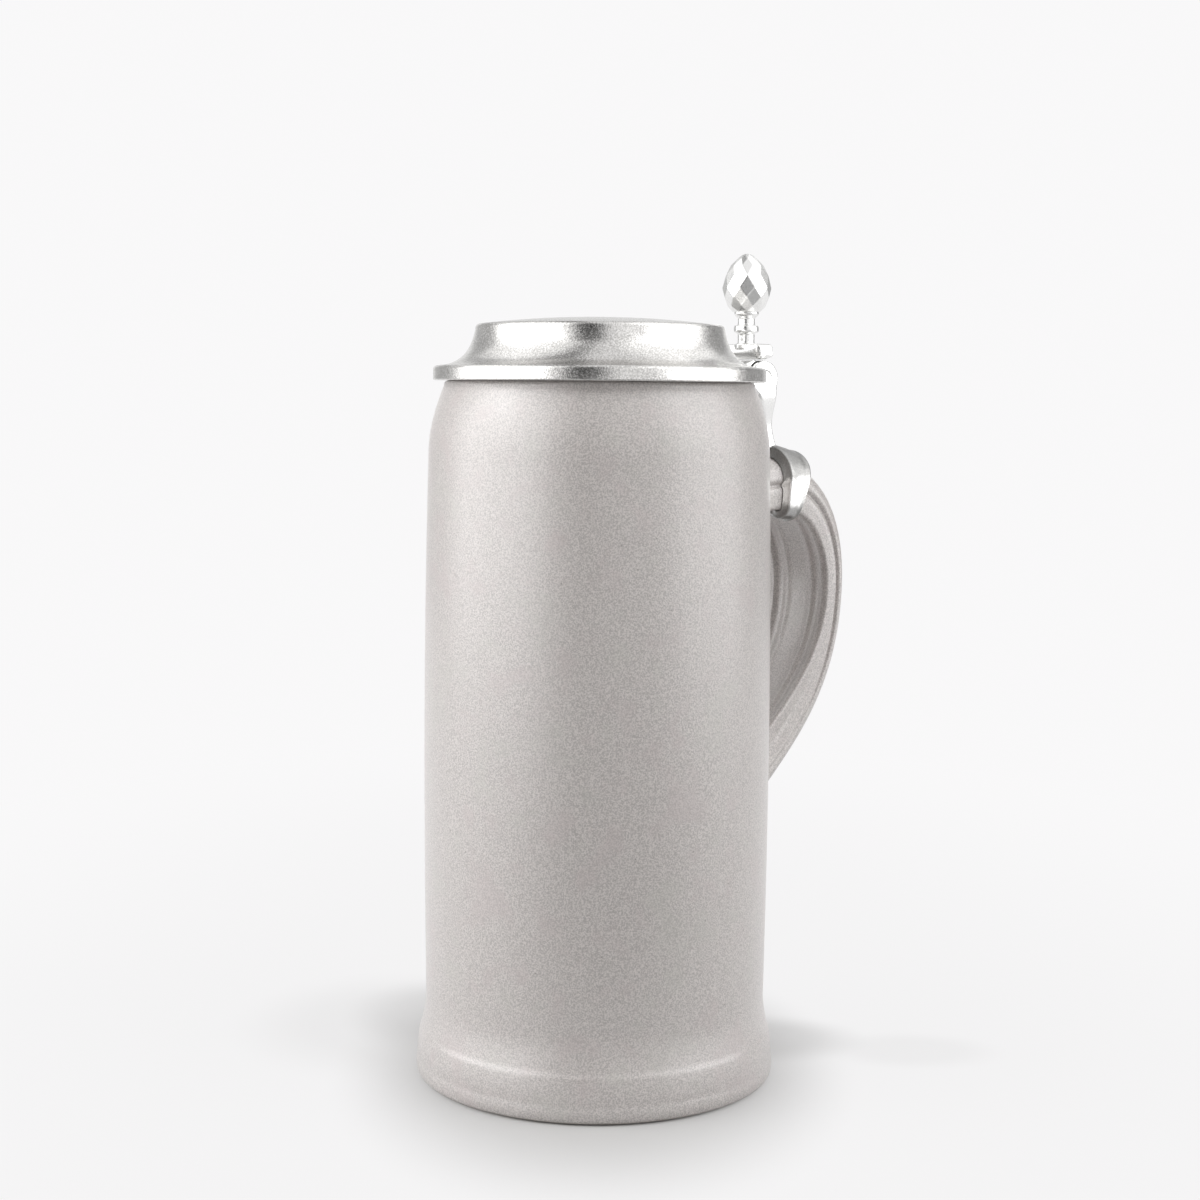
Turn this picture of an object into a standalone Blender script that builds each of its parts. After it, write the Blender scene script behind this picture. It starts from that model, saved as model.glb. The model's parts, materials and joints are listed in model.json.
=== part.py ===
"""A lidded stoneware beer stein of one litre.

A turned clay mug with a reeded ear handle carries a pewter lid on a three-ring hinge. The hinge stands on a
shank that rises from a band round the top of the handle, and a cut knob on the lid is the thumb lift.

Metres, +Z up. The origin is the middle of the base, and the handle points along +X.
"""

import math

import bmesh
import bpy
import numpy as np

MM = 0.001

# Fits
CLEARANCE = 0.3 * MM
FLANGE_PLAY = 0.6 * MM

# Facets
TURN_STEPS = 48
ROUND_STEPS = 24
EDGE_STEPS = 2
CURVE_STEPS = 4
LONG_CURVE_STEPS = 6
MERGE_DISTANCE = 0.01 * MM

# Colours of the finishes
STONEWARE_COLOUR = (0.56, 0.53, 0.50)
SATIN_PEWTER_COLOUR = (0.66, 0.65, 0.63)
BRIGHT_PEWTER_COLOUR = (0.80, 0.80, 0.79)
STEEL_COLOUR = (0.55, 0.55, 0.56)

# Stoneware body
LIP_HEIGHT = 203.7 * MM
LIP_RADIUS = 45.1 * MM
LIP_THICKNESS = 4.6 * MM
LIP_ROUND = 1.7 * MM
SHOULDER_DROP = 12.7 * MM
NECK_DROP = 20.7 * MM
NECK_RADIUS = 49.5 * MM
BELLY_HEIGHT = 97.0 * MM
BELLY_RADIUS = 50.65 * MM
WAIST_RADIUS = 50.1 * MM
FOOT_HEIGHT = 18.0 * MM
FOOT_CORNER_HEIGHT = 12.8 * MM
FOOT_RADIUS = 53.4 * MM
FOOT_BEAD_TOP = 7.0 * MM
FOOT_BEAD_DEPTH = 1.0 * MM
FOOT_BEAD_HEIGHT = 3.6 * MM
FOOT_BEAD_UNDER = 1.3 * MM
FOOT_EDGE = 2.6 * MM
WALL = 5.5 * MM
FLOOR = 9.5 * MM
FLOOR_FILLET = 9.0 * MM

# Stoneware handle
HANDLE_ROOT_DEPTH = 8.0 * MM
HANDLE_TOP_DROP = 34.0 * MM
HANDLE_TOP_RISE = math.radians(23.3)
HANDLE_TOP_PULL = 35.4 * MM
HANDLE_WIDE_DROP = 61.5 * MM
HANDLE_REACH = 34.5 * MM
HANDLE_UPPER_PULL = 17.9 * MM
HANDLE_LOWER_PULL = 43.9 * MM
HANDLE_LOW_DROP = 140.2 * MM
HANDLE_LOW_RISE = math.radians(63.9)
HANDLE_LOW_PULL = 24.4 * MM
HANDLE_WIDTH_TOP = 26.2 * MM
HANDLE_WIDTH_MIDDLE = 27.9 * MM
HANDLE_WIDTH_LOW = 21.3 * MM
HANDLE_MIDDLE_SHARE = 0.45
HANDLE_THICK_TOP = 15.4 * MM
HANDLE_THICK_LOW = 9.1 * MM
HANDLE_TAPER_FROM = 18.0 * MM
HANDLE_TAPER_TO = 66.0 * MM
HANDLE_BEAD = 4.2 * MM
HANDLE_RIB = 3.4 * MM
HANDLE_BACK_END = math.radians(81.0)
HANDLE_BACK_FULLNESS = 0.82
HANDLE_GROOVE = 1.0 * MM
HANDLE_REED = 0.7 * MM
HANDLE_STATIONS = 15

# Pewter band round the handle
BAND_STANDOFF = 15.0 * MM
BAND_WIDTH = 8.6 * MM
BAND_THICK = 2.3 * MM
BAND_CROWN = 1.2 * MM
BAND_EDGE = 0.6 * MM

# Pewter lid
RIM_OVERHANG = 3.1 * MM
RIM_THICK = 3.8 * MM
RIM_ROUND = 0.9 * MM
RIM_LEDGE = 3.7 * MM
RIM_LEDGE_RISE = 0.3 * MM
COVE_CORNER_IN = 1.6 * MM
COVE_CORNER_RISE = 1.5 * MM
LID_TOP_RADIUS = 35.8 * MM
LID_DRUM_RISE = 9.1 * MM
LID_SHOULDER = 2.5 * MM
LID_SHOULDER_RISE = 2.9 * MM
LID_DOME = 2.2 * MM
LID_WALL = 2.3 * MM
FLANGE_DEPTH = 3.0 * MM
FLANGE_WALL = 2.2 * MM

# Hinge
HINGE_GAP = 3.5 * MM
HINGE_RISE = 1.0 * MM
HINGE_WIDTH = 17.0 * MM
KNUCKLE_RADIUS = 5.5 * MM
MIDDLE_WIDTH = 5.1 * MM
PIN_RADIUS = 1.5 * MM
PLUG_RADIUS = 2.4 * MM
PLUG_DEPTH = 1.6 * MM

# Shank between the hinge and the band
SHANK_THICK = 4.4 * MM
SHANK_BACK = 0.7 * MM
SHANK_DROP = 13.0 * MM
SHANK_FOOT_PULL = 5.5 * MM
SHANK_FOOT_LEAN = math.radians(20.0)
SHANK_FOOT_SHIFT = 1.8 * MM
SHANK_FOOT_WIDTH = 11.4 * MM
SHANK_FOOT_THICK = 4.0 * MM
SHANK_FOOT_SINK = 1.6 * MM
SHANK_EDGE = 0.7 * MM
SHANK_TAPER_SHARE = 0.67
SHANK_STATIONS = 9

# Tang that joins the lid to the hinge
TANG_WIDTH = 16.4 * MM
TANG_TONGUE_RISE = 0.9 * MM
TANG_TONGUE_REACH = 9.0 * MM
TANG_SADDLE_RISE = 1.5 * MM
TANG_HOOK_DROP = 0.4 * MM
TANG_WEB_INSET = 0.3 * MM
TANG_RING_LAP = 0.6 * MM

# Thumb lift
PLATFORM_DEPTH = 7.1 * MM
PLATFORM_THICK = 4.7 * MM
PLATFORM_ROUND = 0.7 * MM
PLATFORM_UNDERCUT = 1.0 * MM
PLATFORM_NOSE = 1.7 * MM
STEM_INSET = 0.6 * MM
STEM_SINK = 1.5 * MM
STEM_RADIUS = 2.6 * MM
STEM_FLARE = 0.6 * MM
LOWER_NECK = 3.4 * MM
COLLAR_RADIUS = 3.85 * MM
COLLAR_HEIGHT = 2.2 * MM
UPPER_NECK = 3.0 * MM
CUP_RADIUS = 3.5 * MM
CUP_HEIGHT = 0.8 * MM
KNOB_RADIUS = 7.5 * MM
KNOB_HEIGHT = 18.4 * MM
KNOB_SINK = 0.4 * MM
KNOB_BASE_RADIUS = 3.75 * MM
KNOB_WIDEST = 0.43
KNOB_SWELL = 1.5
KNOB_BLUNTNESS = 0.8
KNOB_COLUMNS = 10
KNOB_LEVELS = (0.0, 0.20, 0.40, 0.63, 0.82, 0.94)
KNOB_TURN = math.radians(13.6)

# Places worked out from the sizes above
NECK_Z = LIP_HEIGHT - NECK_DROP
MOUTH_RADIUS = LIP_RADIUS - LIP_THICKNESS
RIM_RADIUS = LIP_RADIUS + RIM_OVERHANG
RIM_BOTTOM = LIP_HEIGHT + CLEARANCE
RIM_TOP = RIM_BOTTOM + RIM_THICK
LEDGE_TOP = RIM_TOP + RIM_LEDGE_RISE
DRUM_TOP = RIM_TOP + LID_DRUM_RISE
DOME_EDGE = DRUM_TOP + LID_SHOULDER_RISE
FLANGE_RADIUS = MOUTH_RADIUS - FLANGE_PLAY
HINGE_X = RIM_RADIUS + HINGE_GAP + KNUCKLE_RADIUS
HINGE_Z = RIM_BOTTOM + HINGE_RISE
KNUCKLE_TOP = HINGE_Z + KNUCKLE_RADIUS
PLATFORM_BOTTOM = KNUCKLE_TOP + CLEARANCE
PLATFORM_TOP = PLATFORM_BOTTOM + PLATFORM_THICK
STEM_X = HINGE_X - STEM_INSET
KNOB_BOTTOM = PLATFORM_TOP + LOWER_NECK + COLLAR_HEIGHT + UPPER_NECK + CUP_HEIGHT - KNOB_SINK


# Finishes

def finish(name, colour, roughness, metallic):
    """A Principled material with one colour."""
    made = bpy.data.materials.new(name)
    made.use_nodes = True
    shader = made.node_tree.nodes["Principled BSDF"]
    shader.inputs["Base Color"].default_value = (*colour, 1.0)
    shader.inputs["Roughness"].default_value = roughness
    shader.inputs["Metallic"].default_value = metallic
    made.diffuse_color = (*colour, 1.0)
    return made


# Lines and outlines

def bend(start, corner, end, steps):
    """A quadratic curve from start to end that leaves and arrives along the lines to its corner."""
    share = np.linspace(0.0, 1.0, steps + 1)[:, None]
    first, middle, last = (np.array(point) for point in (start, corner, end))
    return (1 - share) ** 2 * first + 2 * share * (1 - share) * middle + share**2 * last


def pulled_curve(start, start_pull, end_pull, end, steps):
    """A cubic curve from start to end, drawn towards its two pull points."""
    share = np.linspace(0.0, 1.0, steps + 1)[:, None]
    ends = [np.array(point) for point in (start, start_pull, end_pull, end)]
    weights = [(1 - share) ** 3, 3 * share * (1 - share) ** 2, 3 * share**2 * (1 - share), share**3]
    return sum(weight * point for weight, point in zip(weights, ends))


def chain(*stretches):
    """One line from stretches, with a point shared by two neighbours kept once."""
    line = np.atleast_2d(stretches[0])
    for stretch in stretches[1:]:
        points = np.atleast_2d(stretch)
        shared = np.allclose(line[-1], points[0], atol=1e-7)
        line = np.vstack([line, points[1:] if shared else points])
    return line


def left_normals(steps):
    """Unit normals on the left of each step, which is outwards on a line that runs down an outer side."""
    lengths = np.linalg.norm(steps, axis=1)[:, None]
    return np.column_stack([-steps[:, 1], steps[:, 0]]) / lengths


def offset_line(line, distance, closed=False):
    """The line moved to its left by a distance, with mitred corners."""
    if closed:
        after = left_normals(np.roll(line, -1, axis=0) - line)
        before = np.roll(after, 1, axis=0)
    else:
        sides = left_normals(np.diff(line, axis=0))
        before = np.vstack([sides[:1], sides])
        after = np.vstack([sides, sides[-1:]])
    mitre = before + after
    mitre /= (mitre * before).sum(axis=1)[:, None]
    return line + distance * mitre


# Objects

def add_object(name, mesh, surface=None):
    """An object for a mesh. With no surface it is a cutter or a helper, which isn't a piece of the stein."""
    made = bpy.data.objects.new(name, mesh)
    bpy.context.scene.collection.objects.link(made)
    if surface is None:
        made.hide_render = True
        made.display_type = "WIRE"
    else:
        mesh.materials.append(surface)
    return made


def mesh_object(name, points, faces, surface=None, smooth_below=40.0):
    """A closed mesh object with its faces turned outwards."""
    mesh = bpy.data.meshes.new(name)
    mesh.from_pydata([tuple(point) for point in points], [], faces)
    shape = bmesh.new()
    shape.from_mesh(mesh)
    bmesh.ops.recalc_face_normals(shape, faces=shape.faces)
    shape.to_mesh(mesh)
    shape.free()
    mesh.shade_smooth()
    mesh.set_sharp_from_angle(angle=math.radians(smooth_below))
    return add_object(name, mesh, surface)


def turned(name, profile, surface=None, steps=TURN_STEPS, place=(0.0, 0.0, 0.0)):
    """A solid turned about a vertical axis from a profile (radius, height) that runs down its outer side."""
    mesh = bpy.data.meshes.new(name)
    points = [(radius, 0.0, height) for radius, height in profile]
    mesh.from_pydata(points, [(i, i + 1) for i in range(len(points) - 1)], [])
    made = add_object(name, mesh, surface)
    made.location = place
    screw = made.modifiers.new("turn", "SCREW")
    screw.axis = "Z"
    screw.steps = steps
    screw.render_steps = steps
    screw.use_merge_vertices = True
    screw.merge_threshold = MERGE_DISTANCE
    screw.use_smooth_shade = True
    return made


def ring_faces(rings, count, closed=False):
    """Four-sided faces between neighbouring rings of points. Closed joins the last ring to the first."""
    faces = []
    for ring in range(rings if closed else rings - 1):
        low = ring * count
        high = (ring + 1) % rings * count
        faces += [(low + i, low + (i + 1) % count, high + (i + 1) % count, high + i) for i in range(count)]
    return faces


def lofted(name, rings, surface=None):
    """A solid through rings of equally many points, closed by a face at each end."""
    count = len(rings[0])
    last = (len(rings) - 1) * count
    faces = ring_faces(len(rings), count)
    faces.append(tuple(range(count)))
    faces.append(tuple(range(last, last + count)))
    return mesh_object(name, np.vstack(rings), faces, surface)


def across(outline, side):
    """An outline (x, z) placed at a distance along Y."""
    return np.column_stack([outline[:, 0], np.full(len(outline), side), outline[:, 1]])


def prism(name, outline, half_width, surface=None):
    """An outline (x, z) carried across the stein from -half_width to +half_width."""
    return lofted(name, [across(outline, -half_width), across(outline, half_width)], surface)


def cross_rod(name, radius, low, high, surface=None, steps=ROUND_STEPS):
    """A round rod on the hinge's axis, from low to high along Y."""
    angle = np.arange(steps) * 2 * math.pi / steps
    circle = np.column_stack([HINGE_X + radius * np.cos(angle), HINGE_Z + radius * np.sin(angle)])
    return lofted(name, [across(circle, low), across(circle, high)], surface)


def combine(target, tool, operation):
    """A live Boolean on the target."""
    boolean = target.modifiers.new(tool.name, "BOOLEAN")
    boolean.operation = operation
    boolean.solver = "EXACT"
    boolean.object = tool


def cut(target, *tools):
    for tool in tools:
        combine(target, tool, "DIFFERENCE")


def join(target, *tools):
    for tool in tools:
        combine(target, tool, "UNION")


def hang_on(piece, axis_empty):
    """Parents a piece to the hinge's empty, and keeps it where it is."""
    piece.location = (piece.location[0] - HINGE_X, piece.location[1], piece.location[2] - HINGE_Z)
    piece.parent = axis_empty


# Stoneware body

def wall_radius(height):
    """Outside radius of the wall, which swells in a parabola to the belly from the foot and from the neck."""
    above = height > BELLY_HEIGHT
    end_height = NECK_Z if above else FOOT_HEIGHT
    end_radius = NECK_RADIUS if above else WAIST_RADIUS
    share = (height - BELLY_HEIGHT) / (end_height - BELLY_HEIGHT)
    return BELLY_RADIUS - (BELLY_RADIUS - end_radius) * share**2


def wall_line(inset, low):
    """The wall's side from the neck down to a height, moved in by an inset."""
    upper = np.linspace(NECK_Z, BELLY_HEIGHT, CURVE_STEPS + 1)
    lower = np.linspace(BELLY_HEIGHT, low, CURVE_STEPS + 1)
    return np.array([(wall_radius(height) - inset, height) for height in (*upper, *lower[1:])])


def body_outside():
    """The body's outer side, from the start of the lip's rounding down to the edge of the flat base."""
    lip_start = (LIP_RADIUS, LIP_HEIGHT - LIP_ROUND)
    shoulder_corner = (NECK_RADIUS, LIP_HEIGHT - SHOULDER_DROP)
    shoulder = bend(lip_start, shoulder_corner, (NECK_RADIUS, NECK_Z), LONG_CURVE_STEPS)
    bead_radius = FOOT_RADIUS - FOOT_BEAD_DEPTH
    flare_top = (WAIST_RADIUS, FOOT_HEIGHT)
    flare_corner = (WAIST_RADIUS, FOOT_CORNER_HEIGHT)
    flare = bend(flare_top, flare_corner, (bead_radius, FOOT_BEAD_TOP), CURVE_STEPS)
    bead = bend(flare[-1], (FOOT_RADIUS, FOOT_BEAD_HEIGHT), (bead_radius, FOOT_BEAD_UNDER), CURVE_STEPS)
    edge = bend(bead[-1], (bead_radius - FOOT_BEAD_DEPTH, 0.0), (bead_radius - FOOT_EDGE, 0.0), EDGE_STEPS)
    return chain(shoulder, wall_line(0.0, FOOT_HEIGHT), flare, bead, edge)


def body_inside():
    """The body's inner side, from the middle of the floor up to the start of the lip's rounding."""
    corner_radius = wall_radius(FLOOR + FLOOR_FILLET) - WALL
    floor = [(0.0, FLOOR), (corner_radius - FLOOR_FILLET, FLOOR)]
    fillet = bend(floor[-1], (corner_radius, FLOOR), (corner_radius, FLOOR + FLOOR_FILLET), CURVE_STEPS)
    wall = wall_line(WALL, FLOOR + FLOOR_FILLET)[::-1]
    neck = NECK_RADIUS - WALL
    lip_start = (MOUTH_RADIUS, LIP_HEIGHT - LIP_ROUND)
    shoulder = bend((neck, NECK_Z), (neck, LIP_HEIGHT - SHOULDER_DROP), lip_start, CURVE_STEPS)
    return chain(floor, fillet, wall, shoulder)


def build_body(surface):
    """The cup, whose lip is rounded over from its inner to its outer side."""
    inside = body_inside()
    outside = body_outside()
    lip_top = (LIP_RADIUS - LIP_THICKNESS / 2, LIP_HEIGHT)
    inner_lip = bend(inside[-1], (MOUTH_RADIUS, LIP_HEIGHT), lip_top, EDGE_STEPS)
    outer_lip = bend(lip_top, (LIP_RADIUS, LIP_HEIGHT), outside[0], EDGE_STEPS)
    profile = chain(inside, inner_lip, outer_lip, outside, [(0.0, 0.0)])
    return turned("stoneware_body", profile, surface)


def body_cutter():
    """The body's outside as a solid, larger by the clearance, which fits the handle's roots to the wall."""
    side = offset_line(body_outside(), CLEARANCE)
    return turned("body_cutter", chain([(0.0, side[0, 1])], side, [(0.0, side[-1, 1])]))


# Stoneware handle

def handle_line():
    """The handle's middle line (x, z), from inside the wall at the top to inside the wall below."""
    top_height = LIP_HEIGHT - HANDLE_TOP_DROP
    low_height = LIP_HEIGHT - HANDLE_LOW_DROP
    top = np.array([wall_radius(top_height) - HANDLE_ROOT_DEPTH, top_height])
    low = np.array([wall_radius(low_height) - HANDLE_ROOT_DEPTH, low_height])
    wide = np.array([BELLY_RADIUS + HANDLE_REACH, LIP_HEIGHT - HANDLE_WIDE_DROP])
    top_pull = top + HANDLE_TOP_PULL * np.array([math.cos(HANDLE_TOP_RISE), math.sin(HANDLE_TOP_RISE)])
    low_pull = low + HANDLE_LOW_PULL * np.array([math.cos(HANDLE_LOW_RISE), math.sin(HANDLE_LOW_RISE)])
    upper = pulled_curve(top, top_pull, wide + [0.0, HANDLE_UPPER_PULL], wide, HANDLE_STATIONS)
    lower = pulled_curve(wide, wide - [0.0, HANDLE_LOWER_PULL], low_pull, low, HANDLE_STATIONS)
    return chain(upper, lower)


def line_lengths(line):
    """The distance along a line to each of its points."""
    return np.concatenate([[0.0], np.cumsum(np.linalg.norm(np.diff(line, axis=0), axis=1))])


def strap_outline(width, thick, grow=0.0, crown=0.0, carving=1.0):
    """The handle's section (across, outwards), with a full oval back, a groove along each side, an edge bead
    under each groove and a reeded inner face. It starts at the middle of the back. Grow moves it outwards,
    crown raises its back further, and carving scales the depth of its grooves and reeds."""
    half = width / 2
    rise = thick / 2
    bead_side = half - HANDLE_BEAD
    reed = carving * HANDLE_REED
    turn = np.linspace(0.0, HANDLE_BACK_END, CURVE_STEPS + 1)
    back = np.column_stack([np.sin(turn), np.cos(turn)]) ** HANDLE_BACK_FULLNESS * [half, rise]
    under = np.array([
        (half - carving * HANDLE_GROOVE, -0.24 * rise),
        (0.99 * half, -0.50 * rise),
        (half - 0.20 * HANDLE_BEAD, -0.86 * rise),
        (half - 0.55 * HANDLE_BEAD, -rise),
        (bead_side, -rise + reed),
        (bead_side - 0.50 * HANDLE_RIB, -rise + 0.25 * reed),
        (bead_side - HANDLE_RIB, -rise + 0.60 * reed),
    ])
    right = np.vstack([back, under])
    left = right[:0:-1] * [-1.0, 1.0]
    outline = np.vstack([right, left])
    lift = crown * np.clip(outline[:, 1] / rise, 0.0, 1.0) ** 2
    return offset_line(outline, grow, closed=True) + np.column_stack([np.zeros(len(outline)), lift])


def strap_sizes(distance):
    """Width and thickness of the handle at a distance along its middle line."""
    share = distance / line_lengths(handle_line())[-1]
    shares = (0.0, HANDLE_MIDDLE_SHARE, 1.0)
    widths = (HANDLE_WIDTH_TOP, HANDLE_WIDTH_MIDDLE, HANDLE_WIDTH_LOW)
    width = np.polyval(np.polyfit(shares, widths, 2), share)
    taper = np.clip((distance - HANDLE_TAPER_FROM) / (HANDLE_TAPER_TO - HANDLE_TAPER_FROM), 0.0, 1.0)
    eased = taper * taper * (3 - 2 * taper)
    return width, HANDLE_THICK_TOP + (HANDLE_THICK_LOW - HANDLE_THICK_TOP) * eased


def strap_ring(distance, *changes):
    """The handle's section at a distance along its middle line, as points in space. The changes are those
    that strap_outline takes: grow, crown and carving."""
    line = handle_line()
    lengths = line_lengths(line)
    slope = np.gradient(line, lengths, axis=0)
    middle = [np.interp(distance, lengths, line[:, axis]) for axis in (0, 1)]
    along = np.array([[np.interp(distance, lengths, slope[:, axis]) for axis in (0, 1)]])
    outwards = left_normals(along)[0]
    outline = strap_outline(*strap_sizes(distance), *changes)
    return np.column_stack([
        middle[0] + outline[:, 1] * outwards[0],
        outline[:, 0],
        middle[1] + outline[:, 1] * outwards[1],
    ])


def build_handle(surface, wall):
    rings = [strap_ring(distance) for distance in line_lengths(handle_line())]
    handle = lofted("stoneware_handle", rings, surface)
    cut(handle, wall)
    return handle


# Pewter band

def band_middle():
    """Distance along the handle's middle line to the middle of the band."""
    line = handle_line()
    upper = line[: HANDLE_STATIONS + 1]
    stand = wall_radius(LIP_HEIGHT - HANDLE_TOP_DROP) + BAND_STANDOFF
    return np.interp(stand, upper[:, 0], line_lengths(upper))


def build_band(surface):
    """A collar that follows the handle's section inside. Outside it is plain and crowned."""
    reach = BAND_WIDTH / 2
    stations = np.array([-reach, -reach + BAND_EDGE, 0.0, reach - BAND_EDGE, reach]) + band_middle()
    outer_grow = CLEARANCE + BAND_THICK
    outer_grows = [outer_grow - BAND_EDGE, outer_grow, outer_grow, outer_grow, outer_grow - BAND_EDGE]
    outer = [strap_ring(distance, grow, BAND_CROWN, 0.0) for distance, grow in zip(stations, outer_grows)]
    inner = [strap_ring(distance, CLEARANCE) for distance in stations[::-1]]
    rings = outer + inner
    return mesh_object("handle_band", np.vstack(rings), ring_faces(len(rings), len(rings[0]), True), surface)


def band_cutter():
    """The band's outside as a solid, larger by the clearance and longer, which trims the shank's foot."""
    reach = BAND_WIDTH / 2 + SHANK_FOOT_WIDTH
    distances = band_middle() + np.linspace(-reach, reach, SHANK_STATIONS)
    grow = CLEARANCE + BAND_THICK + CLEARANCE
    return lofted("band_cutter", [strap_ring(distance, grow, BAND_CROWN, 0.0) for distance in distances])


# Hinge

def slab_ring(place, outwards, width, thick):
    """A rectangular section with cut corners, at a place (x, z) whose flat side faces outwards."""
    half = width / 2
    rise = thick / 2
    quarter = np.array([(half - SHANK_EDGE, rise), (half, rise - SHANK_EDGE)])
    right = np.vstack([quarter, quarter[::-1] * [1.0, -1.0]])
    outline = np.vstack([right, right[::-1] * [-1.0, 1.0]])
    return np.column_stack([
        place[0] + outline[:, 1] * outwards[0],
        outline[:, 0],
        place[1] + outline[:, 1] * outwards[1],
    ])


def shank_line():
    """The shank's middle line (x, z), from the hinge's axis down and out to its foot in the band's top."""
    ring = strap_ring(band_middle() - SHANK_FOOT_SHIFT, CLEARANCE + BAND_THICK - SHANK_FOOT_SINK, BAND_CROWN)
    foot = ring[0, [0, 2]]
    start = np.array([HINGE_X + KNUCKLE_RADIUS - SHANK_BACK - SHANK_THICK / 2, HINGE_Z])
    foot_pull = foot + SHANK_FOOT_PULL * np.array([-math.sin(SHANK_FOOT_LEAN), math.cos(SHANK_FOOT_LEAN)])
    return pulled_curve(start, start - [0.0, SHANK_DROP], foot_pull, foot, SHANK_STATIONS)


def build_shank(surface, band_top, pin_bore):
    """The upright with its two outer hinge rings, a slot for the middle ring and pockets for the plugs."""
    line = shank_line()
    lengths = line_lengths(line)
    shares = lengths / lengths[-1]
    sides = left_normals(np.gradient(line, lengths, axis=0))
    taper = np.minimum(1.0, shares / SHANK_TAPER_SHARE)
    widths = HINGE_WIDTH - CLEARANCE + (SHANK_FOOT_WIDTH - HINGE_WIDTH) * taper
    thicks = SHANK_THICK + (SHANK_FOOT_THICK - SHANK_THICK) * shares
    rings = [slab_ring(*sizes) for sizes in zip(line, sides, widths, thicks)]
    shank = lofted("hinge_shank", rings, surface)
    slot_side = MIDDLE_WIDTH / 2 + CLEARANCE
    end = HINGE_WIDTH / 2
    for side in (-1, 1):
        ring_ends = sorted((side * (slot_side - CLEARANCE), side * end))
        join(shank, cross_rod("outer_ring", KNUCKLE_RADIUS, *ring_ends))
    slot = cross_rod("middle_slot", KNUCKLE_RADIUS + CLEARANCE, -slot_side, slot_side)
    cut(shank, slot, band_top, pin_bore)
    for side in (-1, 1):
        pocket_ends = sorted((side * (end - PLUG_DEPTH), side * (end + PLUG_DEPTH)))
        cut(shank, cross_rod("plug_pocket", PLUG_RADIUS + CLEARANCE, *pocket_ends))
    return shank


def build_pin(surface):
    reach = HINGE_WIDTH / 2 - PLUG_DEPTH
    return cross_rod("hinge_pin", PIN_RADIUS, -reach, reach, surface)


def build_plugs(surface):
    """The plugs that close the pin's bore, flush with the outer rings."""
    end = HINGE_WIDTH / 2
    inner = end - PLUG_DEPTH + CLEARANCE
    cross_rod("pin_plug_left", PLUG_RADIUS, -end, -inner, surface)
    cross_rod("pin_plug_right", PLUG_RADIUS, inner, end, surface)


# Pewter lid

def lid_outside():
    """The lid's outer side, from the middle of the dome down to the outer edge of the rim's underside."""
    dome_radius = LID_TOP_RADIUS - LID_SHOULDER
    share = np.linspace(0.0, 1.0, LONG_CURVE_STEPS)
    dome = np.column_stack([dome_radius * share, DOME_EDGE + LID_DOME * (1 - share**2)])
    shoulder = bend(dome[-1], (LID_TOP_RADIUS, DOME_EDGE), (LID_TOP_RADIUS, DRUM_TOP), CURVE_STEPS)
    cove_foot = (RIM_RADIUS - RIM_LEDGE, LEDGE_TOP)
    cove_corner = (LID_TOP_RADIUS + COVE_CORNER_IN, LEDGE_TOP + COVE_CORNER_RISE)
    cove = bend(shoulder[-1], cove_corner, cove_foot, LONG_CURVE_STEPS)
    edge_in = RIM_RADIUS - RIM_ROUND
    top_edge = bend((edge_in, RIM_TOP), (RIM_RADIUS, RIM_TOP), (RIM_RADIUS, RIM_TOP - RIM_ROUND), EDGE_STEPS)
    low_start = (RIM_RADIUS, RIM_BOTTOM + RIM_ROUND)
    low_edge = bend(low_start, (RIM_RADIUS, RIM_BOTTOM), (edge_in, RIM_BOTTOM), EDGE_STEPS)
    return chain(dome, shoulder, cove, top_edge, low_edge)


def lid_inside():
    """The lid's underside, from the flange's outer root round its lower edge to the middle of the hollow."""
    flange_bottom = RIM_BOTTOM - FLANGE_DEPTH
    flange_inner = FLANGE_RADIUS - FLANGE_WALL
    drum_radius = LID_TOP_RADIUS - LID_WALL
    dome_radius = drum_radius - LID_SHOULDER
    drum_top = (drum_radius, DRUM_TOP - LID_WALL)
    dome_edge = (dome_radius, DOME_EDGE - LID_WALL)
    flange = [(FLANGE_RADIUS, RIM_BOTTOM), (FLANGE_RADIUS, flange_bottom), (flange_inner, flange_bottom)]
    hollow_cove = bend((flange_inner, RIM_BOTTOM), (drum_radius, RIM_TOP), drum_top, CURVE_STEPS)
    hollow_edge = bend(drum_top, (drum_radius, DOME_EDGE - LID_WALL), dome_edge, EDGE_STEPS)
    return chain(flange, hollow_cove, hollow_edge, [(0.0, DOME_EDGE + LID_DOME - LID_WALL)])


def build_lid(surface):
    return turned("lid_cover", chain(lid_outside(), lid_inside()), surface)


def lid_cutter():
    """The lid's outside as a solid, larger by the clearance, which fits the tang to the lid."""
    side = offset_line(lid_outside(), CLEARANCE)
    return turned("lid_cutter", chain(side, [(0.0, side[-1, 1])]))


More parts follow.
